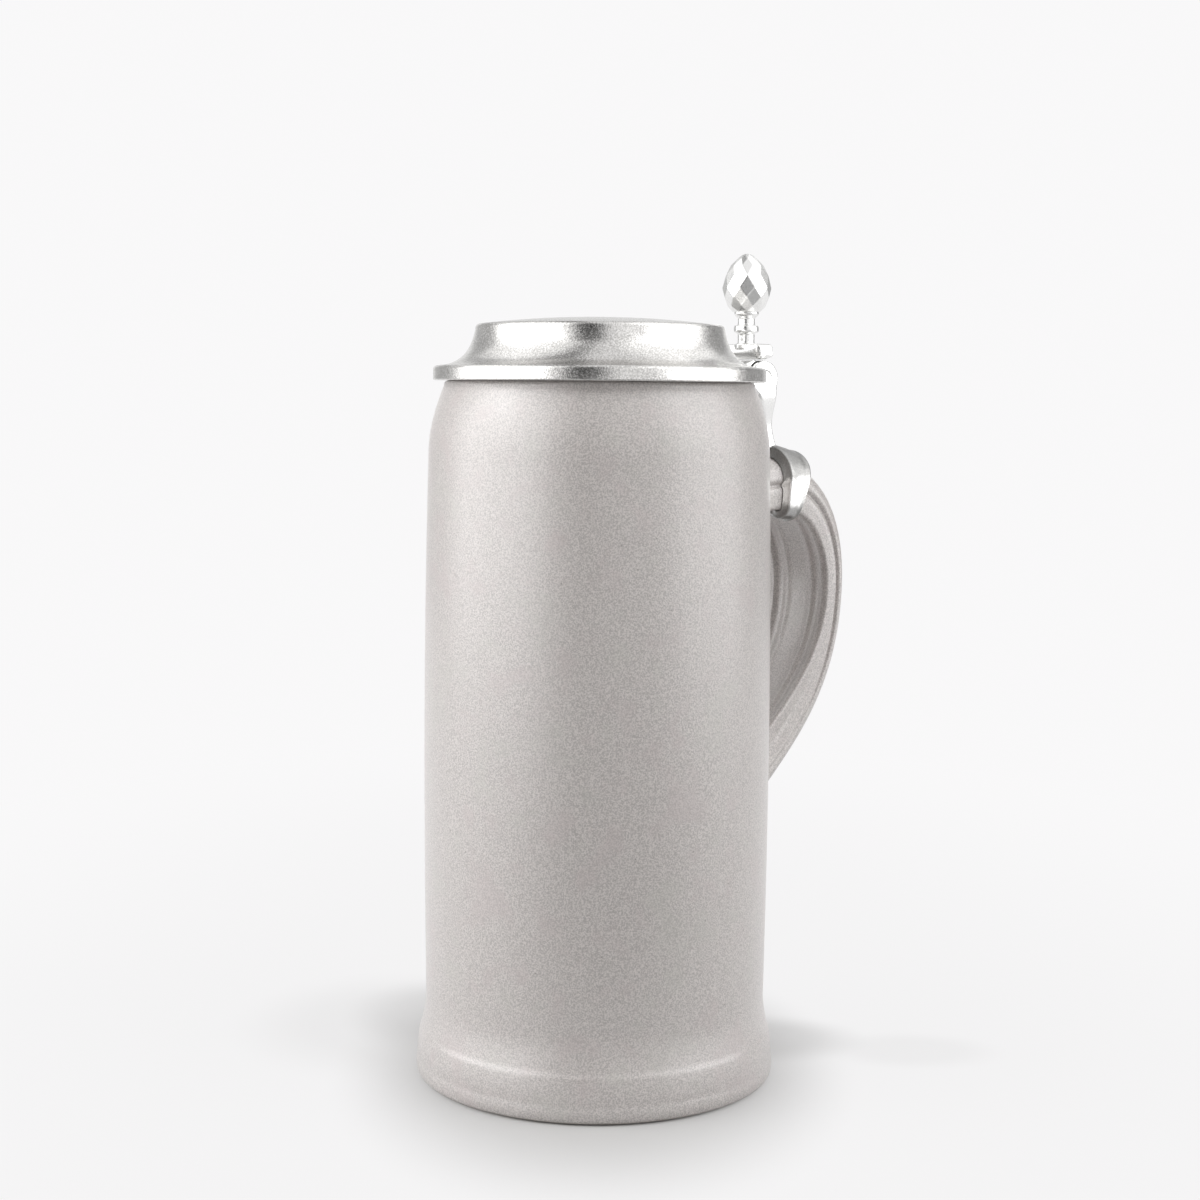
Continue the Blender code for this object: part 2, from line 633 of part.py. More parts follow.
def build_tang(surface, lid_top, pin_bore):
    """The tongue from the lid's rim to the hinge, with the middle ring and room for the two outer rings."""
    front = HINGE_X - PLATFORM_DEPTH / 2
    tip = RIM_RADIUS - TANG_TONGUE_REACH
    bottom = RIM_BOTTOM + TANG_HOOK_DROP
    outline = np.array([
        (HINGE_X - TANG_RING_LAP, bottom),
        (HINGE_X - TANG_RING_LAP, KNUCKLE_TOP),
        (front, KNUCKLE_TOP),
        (RIM_RADIUS, RIM_TOP + TANG_SADDLE_RISE),
        (tip, LEDGE_TOP + TANG_TONGUE_RISE),
        (tip, bottom),
    ])
    tang = prism("lid_tang", outline, TANG_WIDTH / 2, surface)
    web_side = MIDDLE_WIDTH / 2 - TANG_WEB_INSET
    room = KNUCKLE_RADIUS + CLEARANCE
    for side in (-1, 1):
        cut(tang, cross_rod("ring_room", room, *sorted((side * web_side, side * HINGE_WIDTH))))
    join(tang, cross_rod("middle_ring", KNUCKLE_RADIUS, -MIDDLE_WIDTH / 2, MIDDLE_WIDTH / 2))
    cut(tang, lid_top, pin_bore)
    return tang


# Thumb lift

def platform_outline():
    """The platform's side (x, z), with a round nose over an undercut on the lid's side."""
    front = HINGE_X - PLATFORM_DEPTH / 2
    back = HINGE_X + PLATFORM_DEPTH / 2
    undercut = front + PLATFORM_UNDERCUT
    round_low = PLATFORM_TOP - PLATFORM_ROUND
    nose_low = (front + PLATFORM_UNDERCUT / 4, round_low - PLATFORM_NOSE)
    top_end = (back - PLATFORM_ROUND, PLATFORM_TOP)
    top_back = bend((back, round_low), (back, PLATFORM_TOP), top_end, EDGE_STEPS)
    nose = bend((front + PLATFORM_ROUND, PLATFORM_TOP), (front, PLATFORM_TOP), nose_low, CURVE_STEPS)
    under_corner = (undercut, PLATFORM_BOTTOM + PLATFORM_ROUND)
    under = bend(nose_low, under_corner, (undercut, PLATFORM_BOTTOM), EDGE_STEPS)
    return chain([(back, PLATFORM_BOTTOM)], top_back, nose, under)


def stem_profile():
    """The stem's side (radius, height) from its top in the knob, down over the cup and the collar."""
    lower_top = PLATFORM_TOP + LOWER_NECK
    collar_top = lower_top + COLLAR_HEIGHT
    upper_top = collar_top + UPPER_NECK
    cup_top = upper_top + CUP_HEIGHT
    flare = STEM_RADIUS + STEM_FLARE
    cup_foot = (STEM_RADIUS, upper_top - CUP_HEIGHT)
    cup = bend((CUP_RADIUS, cup_top), (CUP_RADIUS, upper_top), cup_foot, EDGE_STEPS)
    upper_neck = [(STEM_RADIUS, collar_top + STEM_FLARE)]
    collar_side = (COLLAR_RADIUS, (lower_top + collar_top) / 2)
    upper_bead = bend((flare, collar_top), (COLLAR_RADIUS, collar_top), collar_side, EDGE_STEPS)
    lower_bead = bend(collar_side, (COLLAR_RADIUS, lower_top), (flare, lower_top), EDGE_STEPS)
    lower_neck = [(STEM_RADIUS, lower_top - STEM_FLARE), (STEM_RADIUS, PLATFORM_TOP + STEM_FLARE)]
    top = [(0.0, cup_top + CUP_HEIGHT), (CUP_RADIUS, cup_top + CUP_HEIGHT)]
    sunk = PLATFORM_TOP - STEM_SINK
    foot = [(flare, PLATFORM_TOP), (flare, sunk), (0.0, sunk)]
    return chain(top, cup, upper_neck, upper_bead, lower_bead, lower_neck, foot)


def egg_radius(share):
    """The knob's radius at a share of its height. It swells from its base to its widest part, then closes
    in a blunt point."""
    if share < KNOB_WIDEST:
        below = 1 - share / KNOB_WIDEST
        return KNOB_RADIUS - (KNOB_RADIUS - KNOB_BASE_RADIUS) * below**KNOB_SWELL
    above = (share - KNOB_WIDEST) / (1 - KNOB_WIDEST)
    return KNOB_RADIUS * (1 - above**2) ** KNOB_BLUNTNESS


def build_knob():
    """Rings of corners, each turned half a column from the last, so the faces between are cut diamonds."""
    column = 2 * math.pi / KNOB_COLUMNS
    rings = []
    for row, share in enumerate(KNOB_LEVELS):
        angle = KNOB_TURN + (np.arange(KNOB_COLUMNS) + 0.5 * ((row + 1) % 2)) * column
        radius = egg_radius(share)
        height = np.full(KNOB_COLUMNS, KNOB_BOTTOM + share * KNOB_HEIGHT)
        rings.append(np.column_stack([STEM_X + radius * np.cos(angle), radius * np.sin(angle), height]))
    tip = np.array([(STEM_X, 0.0, KNOB_BOTTOM + KNOB_HEIGHT)])
    faces = [tuple(range(KNOB_COLUMNS))]
    for row in range(len(KNOB_LEVELS) - 1):
        low = row * KNOB_COLUMNS
        high = low + KNOB_COLUMNS
        for i in range(KNOB_COLUMNS):
            after = (i + 1) % KNOB_COLUMNS
            if row % 2:
                faces += [(low + i, low + after, high + i), (low + after, high + after, high + i)]
            else:
                faces += [(low + i, high + after, high + i), (low + i, low + after, high + after)]
    last = (len(KNOB_LEVELS) - 1) * KNOB_COLUMNS
    faces += [(last + KNOB_COLUMNS, last + i, last + (i + 1) % KNOB_COLUMNS) for i in range(KNOB_COLUMNS)]
    return mesh_object("knob", np.vstack(rings + [tip]), faces, smooth_below=1.0)


def build_thumb_lift(surface):
    lift = prism("thumb_lift", platform_outline(), HINGE_WIDTH / 2, surface)
    stem = turned("stem", stem_profile(), steps=ROUND_STEPS, place=(STEM_X, 0.0, 0.0))
    join(lift, stem, build_knob())
    return lift


def main():
    for old in list(bpy.data.objects):
        bpy.data.objects.remove(old, do_unlink=True)
    stoneware = finish("salt_glazed_stoneware", STONEWARE_COLOUR, roughness=0.45, metallic=0.0)
    satin_pewter = finish("satin_pewter", SATIN_PEWTER_COLOUR, roughness=0.38, metallic=1.0)
    bright_pewter = finish("bright_pewter", BRIGHT_PEWTER_COLOUR, roughness=0.16, metallic=1.0)
    steel = finish("pin_steel", STEEL_COLOUR, roughness=0.35, metallic=1.0)

    wall = body_cutter()
    band_top = band_cutter()
    lid_top = lid_cutter()
    pin_bore = cross_rod("pin_bore", PIN_RADIUS + CLEARANCE, -HINGE_WIDTH, HINGE_WIDTH)

    build_body(stoneware)
    build_handle(stoneware, wall)
    build_band(bright_pewter)
    build_shank(bright_pewter, band_top, pin_bore)
    build_pin(steel)
    build_plugs(bright_pewter)

    axis_empty = bpy.data.objects.new("lid_hinge", None)
    axis_empty.location = (HINGE_X, 0.0, HINGE_Z)
    bpy.context.scene.collection.objects.link(axis_empty)
    hang_on(build_lid(satin_pewter), axis_empty)
    hang_on(build_tang(bright_pewter, lid_top, pin_bore), axis_empty)
    hang_on(build_thumb_lift(bright_pewter), axis_empty)


main()
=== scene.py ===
"""The looks of a lidded stoneware beer stein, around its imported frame.

The clay and the lid are turned or drawn surfaces, the hinge pieces are castings, and each finish is worked
out from Object coordinates. Metres, +Z up, the handle along +X, the camera at the front left.
"""

import functools
import json
import math

import bmesh
import bpy
import numpy as np
from mathutils import Matrix, Vector


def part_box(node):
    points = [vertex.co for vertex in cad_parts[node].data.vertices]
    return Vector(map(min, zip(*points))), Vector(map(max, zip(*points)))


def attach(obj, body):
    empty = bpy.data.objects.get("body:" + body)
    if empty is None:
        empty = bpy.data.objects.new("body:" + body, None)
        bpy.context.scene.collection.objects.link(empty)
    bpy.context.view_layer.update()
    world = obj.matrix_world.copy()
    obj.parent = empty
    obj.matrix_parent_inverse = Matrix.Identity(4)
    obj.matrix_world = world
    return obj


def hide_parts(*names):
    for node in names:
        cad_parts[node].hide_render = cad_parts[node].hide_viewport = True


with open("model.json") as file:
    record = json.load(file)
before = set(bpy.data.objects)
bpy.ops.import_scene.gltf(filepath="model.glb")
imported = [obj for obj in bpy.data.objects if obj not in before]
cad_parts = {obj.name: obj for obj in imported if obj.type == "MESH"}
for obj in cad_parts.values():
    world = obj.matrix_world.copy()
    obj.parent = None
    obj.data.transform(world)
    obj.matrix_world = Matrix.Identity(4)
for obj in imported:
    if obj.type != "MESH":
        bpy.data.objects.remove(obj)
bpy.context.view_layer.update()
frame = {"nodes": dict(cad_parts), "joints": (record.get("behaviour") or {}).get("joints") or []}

MM = 0.001
body_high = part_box("stoneware_body")[1]
lid_low, lid_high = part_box("lid_cover")
HINGE_X, _, HINGE_Z = frame["joints"][0]["pos_m"]

# Fits and facets
CLEARANCE = 0.3 * MM
TURN_STEPS = 256
ROD_STEPS = 96
CURVE_STEPS = 14
EDGE_STEPS = 8
POINT_TOLERANCE = 1e-8
WELD_DISTANCE = 1e-7
SMOOTH_BELOW = math.radians(40.0)
EASE_SHARE = 0.5
EASE_TIMES = 6
UNEVEN_WAVES = 8
UNEVEN_SPREAD = (0.7, 1.5)

# Stoneware body
LIP_HEIGHT = body_high.z
LIP_RADIUS = 45.1 * MM
LIP_THICKNESS = 4.6 * MM
LIP_ROUND = 1.7 * MM
SHOULDER_DROP = 12.7 * MM
NECK_Z = LIP_HEIGHT - 20.7 * MM
NECK_RADIUS = 49.5 * MM
BELLY_HEIGHT = 97.0 * MM
BELLY_RADIUS = 50.65 * MM
WAIST_RADIUS = 50.1 * MM
FOOT_HEIGHT = 23.5 * MM
FOOT_CORNER_HEIGHT = 18.5 * MM
FOOT_SIDE_HEIGHT = 11.5 * MM
FOOT_BEAD_TOP = 5.2 * MM
FOOT_BEAD_DEPTH = 0.5 * MM
FOOT_RADIUS = body_high.x + FOOT_BEAD_DEPTH / 2
FOOT_BEAD_HEIGHT = 2.4 * MM
FOOT_BEAD_UNDER = 1.0 * MM
FOOT_EDGE = 2.6 * MM
FOOT_LINE_HEIGHT = 13.6 * MM
FOOT_LINE_SPAN = 1.6 * MM
FOOT_LINE_STEP = 0.3 * MM
WALL = 5.5 * MM
FLOOR = 9.5 * MM
FLOOR_FILLET = 9.0 * MM
MOUTH_RADIUS = LIP_RADIUS - LIP_THICKNESS

# Stoneware handle
HANDLE_ROOT_DEPTH = 8.0 * MM
HANDLE_TOP_DROP = 34.0 * MM
HANDLE_TOP_RISE = math.radians(23.3)
HANDLE_TOP_PULL = 35.4 * MM
HANDLE_WIDE_DROP = 61.5 * MM
HANDLE_REACH = 34.5 * MM
HANDLE_UPPER_PULL = 17.9 * MM
HANDLE_LOWER_PULL = 43.9 * MM
HANDLE_LOW_DROP = 140.2 * MM
HANDLE_LOW_RISE = math.radians(63.9)
HANDLE_LOW_PULL = 24.4 * MM
HANDLE_WIDTHS = (25.6 * MM, 27.1 * MM, 20.7 * MM)
HANDLE_WIDTH_SHARES = (0.0, 0.45, 1.0)
HANDLE_THICK_TOP = 15.4 * MM
HANDLE_THICK_LOW = 9.08 * MM
HANDLE_TAPER_FROM = 18.0 * MM
HANDLE_TAPER_TO = 66.0 * MM
HANDLE_BEAD = 2.8 * MM
HANDLE_FLUTE = 1.2 * MM
HANDLE_GROOVE = 0.9 * MM
HANDLE_REED = 0.45 * MM
HANDLE_STEP = 4.4 * MM
HANDLE_STEP_SHARES = (0.44, 0.78)
HANDLE_LOW_GROOVE = 1.2 * MM
HANDLE_GROOVE_LOSS = 0.65
HANDLE_BACK_END = math.radians(81.0)
HANDLE_BACK_FULLNESS = 0.82
HANDLE_BACK_CORNERS = 5
HANDLE_SIDE_FLAT = 0.995
HANDLE_BEAD_INSETS = (0.04, 0.20, 1.0)
HANDLE_SIDE_LEVELS = (0.0, -0.16, -0.36, -0.80, -1.08, -1.16)
HANDLE_SIDE_STEPS = (0.0, 0.0, 0.0, 0.35, 1.0, 1.0)
HANDLE_REED_PLACES = (0.56, 0.40, 0.20)
HANDLE_REED_LIFTS = (0.4, 1.0, 0.2, 0.9)
HANDLE_STATIONS = 200
HANDLE_CORNER_STEPS = 6
ROOT_FILLET = 2.4 * MM
ROOT_BURIED = 2.0 * MM
ROOT_PLAIN_FROM = 30.0 * MM
ROOT_PLAIN_TO = 19.0 * MM

# Pewter band
BAND_STANDOFF = 15.0 * MM
BAND_WIDTH = 8.6 * MM
BAND_THICK = 2.3 * MM
BAND_CROWN = 1.2 * MM
BAND_ROUND = 0.8 * MM
BAND_NEAR_SLOPE = 1.1 * MM
BAND_LIP_RISE = 0.45 * MM
BAND_LIP_WIDTH = 1.5 * MM
BAND_UNEVEN = 0.10 * MM
BAND_UNEVEN_SIZE = 5.5 * MM
BAND_UNEVEN_SEED = 3

# Pewter lid
FLANGE_DEPTH = 3.0 * MM
RIM_RADIUS = lid_high.x
RIM_BOTTOM = lid_low.z + FLANGE_DEPTH
RIM_THICK = 3.8 * MM
RIM_ROUND = 1.3 * MM
RIM_LOW_ROUND = 0.5 * MM
RIM_DRIP = 0.45 * MM
RIM_LEDGE = 3.7 * MM
RIM_LEDGE_RISE = 0.3 * MM
COVE_CORNER_IN = 1.6 * MM
COVE_CORNER_RISE = 1.5 * MM
LID_TOP_RADIUS = 36.1 * MM
LID_DRUM_RISE = 10.5 * MM
LID_SHOULDER = 1.4 * MM
LID_SHOULDER_RISE = 1.5 * MM
LID_DOME = 2.2 * MM
LID_WALL = 2.3 * MM
LID_SMOOTH_BELOW = math.radians(30.0)
FLANGE_WALL = 2.2 * MM
FLANGE_ROUND = 0.5 * MM
FLANGE_PLAY = 0.6 * MM
RIM_TOP = RIM_BOTTOM + RIM_THICK
LEDGE_TOP = RIM_TOP + RIM_LEDGE_RISE
DRUM_TOP = RIM_TOP + LID_DRUM_RISE
DOME_EDGE = DRUM_TOP + LID_SHOULDER_RISE
FLANGE_RADIUS = MOUTH_RADIUS - FLANGE_PLAY

# Hinge
HINGE_WIDTH = 17.0 * MM
KNUCKLE_RADIUS = 5.5 * MM
KNUCKLE_EDGE = 1.0 * MM
MIDDLE_WIDTH = 5.1 * MM
BORE_RADIUS = 1.8 * MM
PLUG_RADIUS = 2.4 * MM
PLUG_DEPTH = 1.6 * MM
PLUG_GAP = 0.14 * MM
PLUG_EDGE = 0.25 * MM
SHANK_THICK = 4.4 * MM
SHANK_BACK = 0.7 * MM
SHANK_DROP = 13.0 * MM
SHANK_FOOT_PULL = 5.5 * MM
SHANK_FOOT_LEAN = math.radians(8.0)
SHANK_FOOT_SHIFT = 3.0 * MM
SHANK_FOOT_WIDTH = 11.4 * MM
SHANK_FOOT_THICK = 4.0 * MM
SHANK_FOOT_SINK = 1.6 * MM
SHANK_FOOT_FLARE = 0.3 * MM
SHANK_FLARE_SHARES = (0.78, 1.0)
SHANK_TAPER_SHARES = (0.17, 0.74)
SHANK_ROUND = 1.3 * MM
DROP_OUTER = 0.4 * MM
DROP_OUTER_SHARES = (0.30, 0.75)
DROP_INNER = 4.0 * MM
DROP_INNER_SHARES = (0.10, 0.55)
SHANK_STATIONS = 60
SHANK_GRAIN = 0.18 * MM
SHANK_EASE_TIMES = 14
TANG_WIDTH = 13.6 * MM
TANG_TONGUE_RISE = 0.4 * MM
TANG_TONGUE_REACH = 6.0 * MM
TANG_SADDLE_RISE = 0.6 * MM
TANG_HOOK_DROP = 0.4 * MM
TANG_WEB_INSET = 0.3 * MM
TANG_RING_LAP = 0.6 * MM
TANG_ROUND = 0.5 * MM
TANG_GRAIN = 0.15 * MM
KNUCKLE_TOP = HINGE_Z + KNUCKLE_RADIUS

# Thumb lift
PLATFORM_DEPTH = 7.1 * MM
PLATFORM_THICK = 4.7 * MM
PLATFORM_ROUND = 1.1 * MM
PLATFORM_END_ROUND = 1.8 * MM
PLATFORM_UNDERCUT = 1.0 * MM
PLATFORM_NOSE = 1.7 * MM
PLATFORM_NOSE_IN = 0.25 * MM
PLATFORM_HEEL = 2.6 * MM
PLATFORM_HEEL_LIFT = 0.6 * MM
PLATFORM_GRAIN = 0.13 * MM
STEM_INSET = 0.6 * MM
STEM_SINK = 1.5 * MM
STEM_RADIUS = 2.6 * MM
STEM_FLARE = 0.8 * MM
LOWER_NECK = 3.4 * MM
COLLAR_RADIUS = 3.85 * MM
COLLAR_HEIGHT = 2.2 * MM
UPPER_NECK = 3.0 * MM
CUP_RADIUS = 3.8 * MM
CUP_HEIGHT = 0.8 * MM
KNOB_RADIUS = 7.5 * MM
KNOB_HEIGHT = 18.4 * MM
KNOB_SINK = 0.4 * MM
KNOB_BASE_RADIUS = 3.75 * MM
KNOB_WIDEST = 0.43
KNOB_SWELL = 2.2
KNOB_BLUNTNESS = 0.73
KNOB_COLUMNS = 10
KNOB_LEVELS = np.array([0.04, 0.13, 0.276, 0.43, 0.633, 0.80, 0.92, 0.985])
KNOB_TIP_CURVE = 3.0 * MM
KNOB_TIP_SHARE = 0.5
KNOB_TURN = math.radians(31.6)
KNOB_RIDGE = 0.28 * MM
KNOB_RIDGE_STEPS = 2
KNOB_RIDGE_FULLNESS = 0.6
KNOB_SMOOTH_BELOW = math.radians(3.0)
PLATFORM_BOTTOM = KNUCKLE_TOP + CLEARANCE
PLATFORM_TOP = PLATFORM_BOTTOM + PLATFORM_THICK
STEM_X = HINGE_X - STEM_INSET
KNOB_BOTTOM = PLATFORM_TOP + LOWER_NECK + COLLAR_HEIGHT + UPPER_NECK + CUP_HEIGHT - KNOB_SINK

# Camera, from the photograph's perspective
CAMERA_DISTANCE = 0.600
CAMERA_HEIGHT = 0.20068
CAMERA_SIDE = 0.0006
CAMERA_AZIMUTH = math.radians(38.0)
CAMERA_DOWN = 0.100945
CAMERA_ROLL = math.radians(0.5)
CAMERA_LENS = 61.75
CAMERA_SENSOR = 36.0
CAMERA_NEAR = 0.01

# Directions, as the camera sees the stein
FRONT = Vector((-math.sin(CAMERA_AZIMUTH), -math.cos(CAMERA_AZIMUTH), 0.0))
SIDE = Vector((math.cos(CAMERA_AZIMUTH), -math.sin(CAMERA_AZIMUTH), 0.0))
UPRIGHT = Vector((0.0, 0.0, 1.0))

# Finishes. Shares weigh the patterns in a value, and a roughness and a depth start with their even part
NOISE_DETAIL = 2.0
CLOUD_DETAIL = 3.0
TARNISH_DETAIL = 4.0
GLAZE_GREY = (0.447, 0.416, 0.403, 1.0)
GLAZE_PALE = (0.701, 0.658, 0.636, 1.0)
GLAZE_ROSE = (0.574, 0.501, 0.495, 1.0)
GLAZE_SAGE = (0.552, 0.545, 0.501, 1.0)
GLAZE_TONE_SHARES = (0.15, 0.85)
GLAZE_TINT_SHARES = (0.6, 0.4)
GLAZE_RANGE = (0.37, 0.63)
ROSE_RANGE = (0.52, 0.66)
SAGE_RANGE = (0.34, 0.48)
ROSE_SHARE = 0.4
SAGE_SHARE = 0.3
GLAZE_GRAIN = 0.80 * MM
GLAZE_FINE_GRAIN = 0.42 * MM
GLAZE_CLOUDS = 22.0 * MM
GLAZE_PATCHES = 9.0 * MM
GLAZE_RELIEF = 0.12 * MM
GLAZE_RELIEF_SHARES = (0.60, 0.40)
GLAZE_ROUGHNESS = (0.32, 0.10, 0.30)
GLAZE_COAT = 0.6
GLAZE_COAT_ROUGHNESS = 0.30
GLAZE_INDEX = 1.80
SPECK_SCALE = 240.0
SPECK_RANGE = (0.03, 0.08)
SPECK_ABOVE = 0.66
SPECK_SHARE = 0.65
BARE_RANGE = (0.0, 1.1 * MM)
BARE_SHARE = 0.8
IRON_BROWN = (0.170, 0.140, 0.120, 1.0)
BARE_CLAY = (0.520, 0.455, 0.385, 1.0)
PEWTER_GREY = (0.780, 0.770, 0.755, 1.0)
PEWTER_DULL = (0.480, 0.472, 0.458, 1.0)
PEWTER_BRIGHT = (0.860, 0.860, 0.850, 1.0)
PEWTER_TARNISH = (0.640, 0.635, 0.620, 1.0)
# Colour of the painted shade on cast pewter, on the band and in the thumb lift's hollow
PEWTER_PAINTED_SHADE = (0.165, 0.162, 0.156, 1.0)
PEWTER_GRAIN = 0.45 * MM
SATIN_CLOUDS = 14.0 * MM
SATIN_RANGE = (0.35, 0.65)
SATIN_TONE_SHARES = (0.7, 0.3)
SATIN_ROUGHNESS = (0.14, 0.14, 0.06)
SATIN_RELIEF = 0.045 * MM
SATIN_RELIEF_SHARES = (0.8, 0.2)
LATHE_LINES = 0.35 * MM
MOULD_WAVES = 3.2 * MM
BUFFING_GRAIN = 0.25 * MM
BRIGHT_ROUGHNESS = (0.22, 0.06, 0.08)
BRIGHT_RELIEF = 0.025 * MM
BRIGHT_RELIEF_SHARES = (0.9, 0.1)
TARNISH_SPOTS = 5.0 * MM
TARNISH_RANGE = (0.50, 0.72)
TARNISH_SHARE = 0.5
MOTTLE = 1.8 * MM
CAST_ROUGHNESS = (0.20, 0.08, 0.16)
CAST_RELIEF = 0.035 * MM
CAST_RELIEF_SHARES = (0.6, 0.4)
# Painted shade on the cast band: it darkens above and below these heights
SHADE_PAINT_ABOVE = (173.0 * MM, 176.0 * MM)
SHADE_PAINT_BELOW = (165.5 * MM, 169.0 * MM)
SHADE_PAINT_WANDER = 5.0 * MM
SHADE_PAINT_SHARES = (0.9, 0.8)
SHADE_PAINT_DEPTH = (0.6, 0.5)
# Painted shade in the hollow between the lid and the thumb lift
HOLLOW_DEPTHS = (0.3 * MM, 1.1 * MM)
HOLLOW_HALF_WIDTHS = (6.0 * MM, 6.4 * MM)
HOLLOW_RISES = (1.0 * MM, 2.4 * MM)
HOLLOW_SHADE_SHARE = 0.8
STEEL_GREY = (0.55, 0.55, 0.56, 1.0)
STEEL_DARK = (0.36, 0.36, 0.37, 1.0)
DRAWN_LINES = 0.2 * MM
DRAWN_STRETCH = (1.0, 0.04, 1.0)
DRAWN_ROUGHNESS = (0.28, 0.20)
DRAWN_RELIEF = 0.01 * MM

# Floor, backdrop and fill light
FLOOR_DROP = 0.1 * MM
FLOOR_SIZE = 8.0
FLOOR_COLOUR = (0.60, 0.595, 0.59, 1.0)
FLOOR_BOUNCE_COLOUR = (0.40, 0.397, 0.394, 1.0)
FLOOR_FADE_MIDDLE = (0.0, 0.00145)
FLOOR_FADE_HALF = (0.0802, 0.1232)
FLOOR_NEAR_FADE = (0.40, 1.0)
FLOOR_FAR_FADE = (1.0, 4.7)
FLOOR_FADE_SHARES = (0.90, 0.10)
FLOOR_PAINTED_SHADOW_EDGE = (0.4, 1.0)
BACKDROP_WHITE = (0.945, 0.940, 0.945, 1.0)
FILL_STRENGTH = 0.08
STUDIO_ROUGHNESS = 0.9
BLACK = (0.0, 0.0, 0.0, 1.0)
WHITE = (1.0, 1.0, 1.0, 1.0)

# Soft shadows painted on the floor behind the stein: middle, half sizes, depth
FLOOR_PAINTED_SHADOWS = (
    ((-0.062, 0.040), (0.058, 0.062), 0.14),
    ((-0.050, 0.050), (0.034, 0.044), 0.30),
    ((0.050, 0.027), (0.038, 0.027), 0.36),
    ((0.097, 0.016), (0.032, 0.020), 0.10),
)

# Softboxes: name, azimuth in degrees from the camera to its right, height, distance, size, power
SOFTBOXES = (
    ("left_softbox", -71.0, 0.66, 1.10, (1.50, 1.50), 16.4),
    ("left_softbox_core", -76.0, 0.86, 1.08, (0.35, 0.35), 1.6),
    ("right_softbox", 75.0, 0.66, 1.15, (1.17, 1.40), 10.2),
    ("high_right_softbox", 60.0, 1.30, 1.00, (0.90, 0.60), 4.0),
)

# Upright cards: name, azimuth, height, distance, size, brightness
CARDS = (
    ("front_card", -10.0, 0.80, 1.3, (0.62, 1.60), 0.05),
    ("front_right_panel", 24.0, 0.80, 1.3, (0.34, 1.60), 1.10),
    ("back_low_card", 180.0, 0.30, 1.4, (1.30, 0.70), 1.00),
    ("back_high_card", 180.0, 1.35, 1.4, (1.30, 1.40), 0.55),
    ("back_left_card", -135.0, 0.45, 1.4, (1.02, 1.10), 0.52),
    ("back_right_card", 132.0, 0.48, 1.4, (1.05, 1.04), 0.40),
)

# Level cards: name, height, span to the side, span to the front, brightness, whether it lights
LEVEL_CARDS = (
    ("overhead_left_panel", 1.15, (-1.25, -0.35), (-0.85, 0.80), 1.35, True),
    ("overhead_gap", 1.15, (-0.28, -0.10), (-0.80, 0.80), 0.25, False),
    ("overhead_right_panel", 1.15, (0.27, 1.17), (-0.95, 0.80), 1.40, True),
    ("table_card", 0.003, (-0.24, 0.55), (0.12, 0.80), 0.42, False),
)


# Lines

def bend(start, corner, end, steps=CURVE_STEPS):
    """A quadratic curve: the two ends and a corner weighed by (1-t)^2, t^2 and 2t(1-t)."""
    share = np.linspace(0.0, 1.0, steps + 1)[:, None]
    first, middle, last = (np.array(point) for point in (start, corner, end))
    return (1 - share) ** 2 * first + 2 * share * (1 - share) * middle + share**2 * last


def edge_curve(start, corner, end):
    """A short curve that rounds an edge."""
    return bend(start, corner, end, EDGE_STEPS)


def eased(corner, before, after):
    """A short curve round a corner, from one offset from it to another."""
    return edge_curve(np.add(corner, before), corner, np.add(corner, after))


def pulled_curve(start, start_pull, end_pull, end, steps):
    """A cubic curve: four points weighed by the Bernstein polynomials of degree three."""
    share = np.linspace(0.0, 1.0, steps + 1)[:, None]
    points = [np.array(point) for point in (start, start_pull, end_pull, end)]
    weights = [(1 - share) ** 3, 3 * share * (1 - share) ** 2, 3 * share**2 * (1 - share), share**3]
    return sum(weight * point for weight, point in zip(weights, points))


def straight(start, end, steps=CURVE_STEPS):
    """Evenly spaced points from start to end."""
    share = np.linspace(0.0, 1.0, steps + 1)[:, None]
    return (1 - share) * np.array(start) + share * np.array(end)


def chain(*stretches):
    """One line from stretches, with a point shared by two neighbours kept once."""
    line = np.atleast_2d(stretches[0])
    for stretch in stretches[1:]:
        points = np.atleast_2d(stretch)
        shared = np.allclose(line[-1], points[0], atol=POINT_TOLERANCE)
        line = np.vstack([line, points[1:] if shared else points])
    return line


def smooth_step(values, low, high):
    """0 below low, 1 above high, and 3t^2 - 2t^3 between."""
    share = np.clip((values - low) / (high - low), 0.0, 1.0)
    return share * share * (3 - 2 * share)


def line_lengths(line):
    """The distance along a line to each of its points."""
    return np.concatenate([[0.0], np.cumsum(np.linalg.norm(np.diff(line, axis=0), axis=1))])


def closed_normals(outline):
    """Left-hand unit normals of closed outlines (..., points, 2), from the chord across each point."""
    chord = np.roll(outline, -1, axis=-2) - np.roll(outline, 1, axis=-2)
    chord /= np.linalg.norm(chord, axis=-1, keepdims=True)
    return np.stack([-chord[..., 1], chord[..., 0]], axis=-1)


def uneven(points, size, seed):
    """Smooth lumps between -1 and 1: the mean of some sine waves through space, in directions and phases
    drawn from the seed, with wavelengths near the size."""
    draw = np.random.default_rng(seed)
    directions = draw.normal(size=(UNEVEN_WAVES, 3))
    directions /= np.linalg.norm(directions, axis=1)[:, None]
    waves = directions * (2 * math.pi / (size * draw.uniform(*UNEVEN_SPREAD, UNEVEN_WAVES)))[:, None]
    phases = draw.uniform(0.0, 2 * math.pi, UNEVEN_WAVES)
    return np.sin(points @ waves.T + phases).mean(axis=-1)


# Meshes

def mesh_of(points, faces):
    """A mesh from points and, for each face, the numbers of its points."""
    mesh = bpy.data.meshes.new("mesh")
    mesh.from_pydata(points, [], faces)
    return mesh


